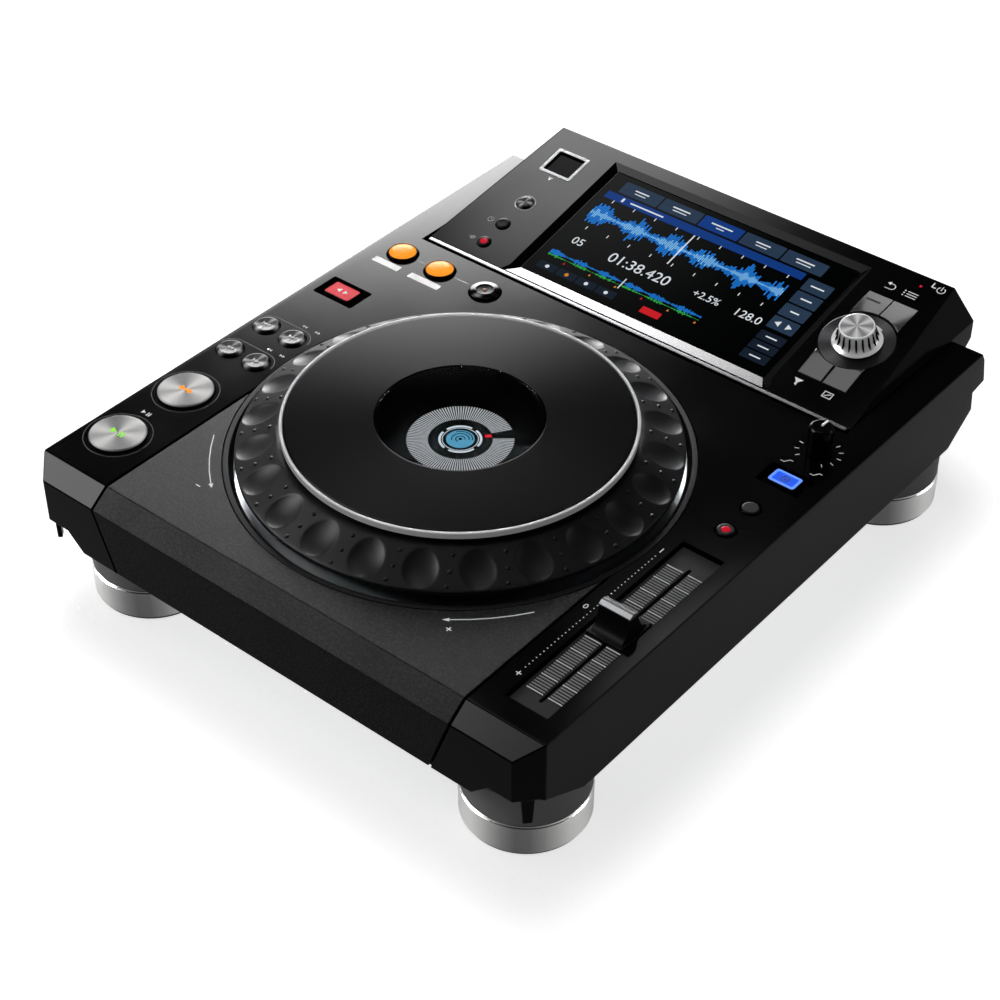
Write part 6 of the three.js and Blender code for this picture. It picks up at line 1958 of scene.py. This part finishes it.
@dataclass
class ScreenPicture(Assembly):
    """Lit picture of the screen: a generic player layout of tabs, wave strips, digits and pads."""

    glass_top: float = -2.5
    left: float = -74.0
    tab_pitch: float = 26.4
    menu_x: float = 65.6

    @property
    def place(self) -> Matrix:
        """From the sloping plate's millimetres to the part's metres."""
        return self.frames.plate

    def layer(self, number: int) -> tuple[float, float]:
        """Lowest and highest point of a layer of the picture over the glass."""
        return self.glass_top - 0.02, self.glass_top + 0.03 * (number + 1)

    def tabs(self) -> None:
        """Row of tabs along the top, column of tabs on the right, and title bar."""
        slate, chosen, title = Solid(), Solid(), Solid()
        span = self.layer(0)
        for i in range(5):
            x = self.left + 18 + i * self.tab_pitch
            (chosen if i == 2 else slate).plate(rectangle(x, 87.6, 25.4, 9.2, 0.8), *span)
        for i in range(4):
            slate.plate(rectangle(self.menu_x, 75.2 - i * 10.4, 15.6, 9.2, 0.8), *span)
        title.plate(rectangle(-9.2, 78.8, 128.4, 5.4, 0.3), *span)
        self.put("screen_tabs", slate, SLATE, Slot.LENS)
        self.put("screen_tab_chosen", chosen, SCREEN_BLUE, Slot.LENS)
        self.put("screen_title_bar", title, SCREEN_BLUE, Slot.LENS)

    def waves(self) -> None:
        """Main wave strip and the narrow strip of the whole track."""
        low, high = self.layer(1)
        bars = (
            ("screen_wave", WAVE_BLUE, 10.6, 0.30, 1.15, 108, 63.2, 5),
            ("screen_wave_core", WAVE_PALE, 4.2, 0.20, 1.15, 108, 63.2, 9),
            ("screen_overview", WAVE_BLUE, 2.4, 0.25, 0.82, 120, 27.4, 14),
            ("screen_overview_low", SCREEN_GREEN, 1.3, 0.15, 0.82, 120, 25.0, 21),
        )
        for i, (name, finish, reach, least, pitch, count, s, seed) in enumerate(bars):
            bar = Solid().plate(rectangle(0, 0, pitch * 0.72, 2 * reach), low, high + 0.02 * (i % 2))
            at = self.place @ Matrix.Translation((self.left + 2.5, s, 0))
            steps = {"step": (pitch, 0, 0), "low": least, "swell": 0.31, "seed": seed}
            self.repeat(name, bar, Copies.ROW, count, finish, Slot.LENS, at=at, **steps)
        beat = Solid().plate(rectangle(0, 0, 0.45, 2.2), low, high + 0.05)
        for name, s in (("screen_beats_high", 75.0), ("screen_beats_low", 51.2)):
            at = self.place @ Matrix.Translation((self.left + 8, s, 0))
            self.repeat(name, beat, Copies.ROW, 9, SCREEN_WHITE, Slot.LENS, at=at, step=(14.2, 0, 0))
        lines = Solid()
        lines.plate(rectangle(-12, 63.2, 0.7, 25), low, high + 0.08)
        lines.plate(rectangle(-23.6, 26.4, 0.6, 8), low, high + 0.08)
        self.put("screen_play_line", lines, SCREEN_WHITE, Slot.LENS)

    def digits(self) -> None:
        """Track number, time and speed in plain digits."""
        low, high = self.layer(0)
        for name, words, size, x, s in (
            ("screen_track_number", "05", 5.6, -67, 40.6),
            ("screen_time", "01:38.420", 7.4, -42, 40.2),
            ("screen_speed", "+2.5%", 5.0, 12, 40.8),
            ("screen_beat_rate", "128.0", 5.6, 38, 40.6),
        ):
            text = bpy.data.curves.new(name, "FONT")
            text.body = words
            text.size = size * 1.35
            text.extrude = (high - low) / 2
            source = linked(name, text)
            bpy.context.view_layer.update()
            graph = bpy.context.evaluated_depsgraph_get()
            mesh = bpy.data.meshes.new_from_object(source.evaluated_get(graph))
            bpy.data.objects.remove(source)
            mesh.transform(self.place @ Matrix.Translation((x, s - size / 2, (low + high) / 2)))
            mesh.name = name
            dressed(linked(name, mesh), SCREEN_WHITE, Body.ROOT)

    def pads(self) -> None:
        """Small pads, arrows and lamps of the picture's foot."""
        slate, white, red, orange = Solid(), Solid(), Solid(), Solid()
        span, upper = self.layer(0), self.layer(1)
        for i in range(3):
            slate.plate(rectangle(self.menu_x, 33.4 - i * 7.4, 15.6, 6.4, 0.6), *span)
        for i in range(4):
            slate.plate(rectangle(-66 + i * 13, 16.6, 12, 5.4, 0.6), *span)
        for side in (-1, 1):
            x = self.menu_x + side * 3.6
            white.plate([(x - side * 1.6, 42.0), (x + side * 1.6, 44.0), (x - side * 1.6, 46.0)], *upper)
        for i in range(5):
            x = self.left + 18 + i * self.tab_pitch
            white.plate(rectangle(x, 88.4, 9.0 + 2.2 * (i % 3), 0.9, 0.1), *upper)
            white.plate(rectangle(x, 86.2, 5.0 + 2.0 * ((i + 1) % 3), 0.6, 0.1), *upper)
        for i in range(3):
            white.plate(rectangle(self.menu_x, 75.2 - i * 10.4, 8.0 - i * 1.4, 0.9, 0.1), *upper)
            white.plate(rectangle(self.menu_x, 33.4 - i * 7.4, 6.6, 0.8, 0.1), *upper)
        white.plate(rectangle(-62, 78.8, 1.4, 3.0, 0.2), *upper)
        white.plate(rectangle(-46, 78.8, 22, 1.0, 0.2), *upper)
        for i in range(4):
            (orange if i == 1 else white).plate(circle(1.2, 16, -66 + i * 13, 16.6), *upper)
        red.plate(rectangle(2.0, 16.6, 12, 4.6, 0.6), *upper)
        for i in range(6):
            marks, x = red if i % 3 == 0 else orange, i * 17.0
            marks.plate([(-60 + x, 22.0), (-58.6 + x, 22.0), (-59.3 + x, 23.6)], *upper)
        self.put("screen_pads", slate, SLATE_DARK, Slot.LENS)
        self.put("screen_signs", white, SCREEN_WHITE, Slot.LENS)
        self.put("screen_red_marks", red, SCREEN_RED, Slot.LENS)
        self.put("screen_orange_marks", orange, SCREEN_ORANGE, Slot.LENS)

    def build(self) -> None:
        """Builds the picture."""
        self.tabs()
        self.waves()
        self.digits()
        self.pads()


@dataclass
class Underside(Assembly):
    """Screws of the bottom and rear plates and the coloured rings of the jacks."""

    floor: float = -47.0
    rear: float = 347.2

    @staticmethod
    def screw(radius: float) -> Solid:
        """Pan head with a cross in it, pointing down."""
        outline = [(0, 0), (radius, 0, 0.15), (radius, -0.5, 0.4), (radius * 0.55, -1.1, 0.5), (0, -1.15)]
        solid = Solid().lathe(soften(outline), 20)
        length, width = radius * 0.9, radius * 0.24
        for size in ((width, length), (length, width)):
            solid.plate(rectangle(0, 0, *size), -1.25, -1.0)
        return solid

    def build(self) -> None:
        """Builds the rows of screws and the jacks' rings."""
        rows = (("left", -145.0, 60.0, 78.0), ("right", 145.0, 60.0, 78.0), ("middle", 0.0, 24.0, 96.0))
        for side, x, y, step in rows:
            at = self.place @ Matrix.Translation((x, y, self.floor))
            self.repeat(
                f"floor_screws_{side}", self.screw(3.0), Copies.ROW, 4, ZINC, Slot.ZINC, at=at, step=(0, step, 0)
            )
        at = self.place @ Matrix.Translation((-120, self.rear, -27.0)) @ spin(90, "X")
        self.repeat("rear_screws", self.screw(2.2), Copies.ROW, 4, ZINC, Slot.ZINC, at=at, step=(60.0, 0, 0))
        middle = self.frames.middle("audio_jacks")
        for i, (name, finish) in enumerate((("left", WHITE_FRAME), ("right", RED_RING), ("digital", AMBER_RING))):
            ring = Solid().lathe(soften([(4.5, 0, 0.1), (6.2, 0, 0.1), (6.2, 0.9, 0.3), (4.5, 0.9, 0.3)]), 48)
            at = self.place @ Matrix.Translation((middle.x + (i - 1) * 16, self.rear, middle.z)) @ spin(-90, "X")
            self.put(f"jack_ring_{name}", ring, finish, Slot.GREY, at=at)


def direction(heading: float, height: float) -> Vector:
    """Unit vector at degrees anticlockwise from +x and degrees over the horizon."""
    turn, rise = math.radians(heading), math.radians(height)
    return Vector((math.cos(turn) * math.cos(rise), math.sin(turn) * math.cos(rise), math.sin(rise)))


@dataclass
class Studio:
    """Camera, lamps, world and the pale floor."""

    position: tuple[float, float, float] = (0.53258, -0.6717, 0.7277)
    azimuth: float = 39.536
    elevation: float = 39.666
    lens: float = 78.47
    sensor: float = 36.0
    cards: tuple[tuple[float, ...], ...] = (  # heading, height, full, none and strength of each
        (132.5, 21, 8.5, 16, 80.0),
        (141, 47.5, 0.5, 7.5, 52.0),
        (122, 44.5, 0.5, 4.0, 14.0),
        (212, 37, 2, 26, 66.0),
        (42, 27, 4, 20, 12.0),
    )
    wall_light: tuple[float, float] = (0.5, 0.09)  # near the floor and near the ceiling
    floor_seen: float = 0.68  # light added to the floor for the camera
    floor_mirrored: float = 0.38  # and for reflections

    def camera(self) -> None:
        """Camera at the photograph's place."""
        data = bpy.data.cameras.new("camera")
        data.sensor_width = self.sensor
        data.lens = self.lens
        data.clip_start, data.clip_end = 0.01, 50.0
        camera = linked("camera", data)
        camera.location = self.position
        camera.rotation_euler = Euler((math.radians(90 - self.elevation), 0.0, math.radians(self.azimuth)), "XYZ")
        bpy.context.scene.camera = camera

    @staticmethod
    def lamp(name: str, heading: float, height: float, distance: float, size: float, power: float) -> None:
        """Adds a soft square lamp that looks at the object.

        Args:
            name: the lamp's name.
            heading: degrees anticlockwise from +x at which it stands.
            height: degrees over the horizon.
            distance: metres from the object.
            size: metres along a side.
            power: watts.
        """
        data = bpy.data.lights.new(name, "AREA")
        data.shape = "SQUARE"
        data.size = size
        data.energy = power
        lamp = linked(name, data)
        way = direction(heading, height)
        lamp.location = way * distance
        lamp.rotation_euler = way.to_track_quat("Z", "Y").to_euler()

    @staticmethod
    def card(
        tree: bpy.types.NodeTree, way: bpy.types.NodeSocket, heading: float, height: float, full: float, none: float,
        strength: float,
    ) -> bpy.types.NodeSocket:
        """Soft round card of light far away, as part of the studio's walls.

        Args:
            tree: the world's tree.
            way: the direction looked in.
            heading: degrees anticlockwise from +x.
            height: degrees over the horizon.
            full: degrees from its middle at which it starts to fade.
            none: degrees from its middle at which it has faded out.
            strength: its radiance in the middle.

        Returns:
            Its radiance in that direction.
        """
        middle = direction(heading, height)
        near = add_node(tree, "ShaderNodeVectorMath", {0: way, 1: middle}, operation="DOT_PRODUCT")
        apart = add_node(tree, "ShaderNodeMath", {0: near.outputs["Value"]}, operation="ARCCOSINE")
        limits = {"From Min": math.radians(none), "From Max": math.radians(full), "To Max": strength}
        inputs = {"Value": apart.outputs[0], **limits}
        return add_node(tree, "ShaderNodeMapRange", inputs, interpolation_type="SMOOTHERSTEP").outputs["Result"]

    def world(self) -> None:
        """Grey walls that darken towards the ceiling, with soft cards of light."""
        world = bpy.data.worlds.new("studio")
        bpy.context.scene.world = world
        world.use_nodes = True
        tree = world.node_tree
        tree.nodes.clear()
        way = add_node(tree, "ShaderNodeTexCoord").outputs["Generated"]
        parts = add_node(tree, "ShaderNodeSeparateXYZ", {"Vector": way})
        stops = [(z, (light, light, light, 1)) for z, light in zip((0.08, 0.45), self.wall_light)]
        ramp = add_node(tree, "ShaderNodeValToRGB", {"Fac": parts.outputs["Z"]}, stops)
        cards = 0.0
        for card in self.cards:
            cards = add_node(tree, "ShaderNodeMath", {0: self.card(tree, way, *card), 1: cards}).outputs[0]
        path = add_node(tree, "ShaderNodeLightPath").outputs
        first = add_node(tree, "ShaderNodeMath", {0: path["Diffuse Depth"], 1: 0.5}, operation="LESS_THAN")
        direct = add_node(tree, "ShaderNodeMath", {0: first.outputs[0], 1: path["Is Glossy Ray"]}, operation="MULTIPLY")
        mirrored = add_node(tree, "ShaderNodeMath", {0: cards, 1: direct.outputs[0]}, operation="MULTIPLY")
        total = add_node(tree, "ShaderNodeVectorMath", {0: ramp.outputs["Color"], 1: mirrored.outputs[0]})
        walls = add_node(tree, "ShaderNodeBackground", {"Color": total.outputs[0], "Strength": 1.0})
        seen = add_node(tree, "ShaderNodeBackground", {"Color": (1.0, 1.0, 1.0, 1.0), "Strength": 1.0})
        inputs = {0: path["Is Camera Ray"], 1: walls.outputs[0], 2: seen.outputs[0]}
        mixed = add_node(tree, "ShaderNodeMixShader", inputs)
        add_node(tree, "ShaderNodeOutputWorld", {"Surface": mixed.outputs[0]})

    def floor(self) -> None:
        """Pale floor, white to the camera and in reflections, with the object's soft shadow."""
        floor = Solid().plate(circle(12000, 96), -20, 0).piece("floor", Matrix.Scale(MM, 4))
        material = bpy.data.materials.new("pale_floor")
        material.use_nodes = True
        tree = material.node_tree
        path = add_node(tree, "ShaderNodeLightPath").outputs
        glassy = add_node(tree, "ShaderNodeMath", {0: path["Is Glossy Ray"], 1: path["Is Transmission Ray"]})
        inputs = {0: glassy.outputs[0], 1: self.floor_mirrored}
        mirrored = add_node(tree, "ShaderNodeMath", inputs, operation="MULTIPLY")
        inputs = {0: path["Is Camera Ray"], 1: self.floor_seen}
        seen = add_node(tree, "ShaderNodeMath", inputs, operation="MULTIPLY")
        lift = add_node(tree, "ShaderNodeMath", {0: seen.outputs[0], 1: mirrored.outputs[0]})
        matt = {"Base Color": (0.82, 0.82, 0.82, 1), "Roughness": 0.9, "Specular IOR Level": 0.1}
        lit = {"Emission Color": (1, 1, 1, 1), "Emission Strength": lift.outputs[0]}
        feed(tree, tree.nodes["Principled BSDF"], {**matt, **lit})
        floor.data.materials.append(material)

    def build(self) -> None:
        """Sets the scene up."""
        self.camera()
        bpy.context.scene.view_settings.view_transform = "Standard"
        self.world()
        self.floor()
        self.lamp("key", 140, 74, 2.4, 1.1, 24)
        self.lamp("fill", 235, 58, 2.6, 1.4, 8)


def main() -> None:
    """Builds the studio and every sub-assembly in order, then gives the CAD nodes that stay their materials."""
    logging.basicConfig(level=logging.INFO, format="%(message)s")
    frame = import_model()
    Studio().build()
    frames = Frames.read(frame)
    controls = DeckControls(frames)
    tempo = TempoSide(frames)
    Case(frames).build(controls, tempo)
    Feet(frames).build()
    JogWheel(frames).build()
    controls.build()
    tempo.build()
    Housing(frames).build()
    Underside(frames).build()
    for finish, *names in (
        (ZINC, "bottom_plate", "jog_base", "jog_bearing", "link_ports", "browse_shaft"),
        (BOARD, "main_board", "power_supply"),
        (MATT_ABS, "fader_board"),
        (SATIN_ABS, "rear_panel", "ac_inlet", "lcd_module"),
        (SOCKET_ABS, "usb_socket", "power_button"),
        (PIN_METAL, "audio_jacks"),
    ):
        paint(frame["nodes"], names, finish)


if __name__ == "__main__":
    main()
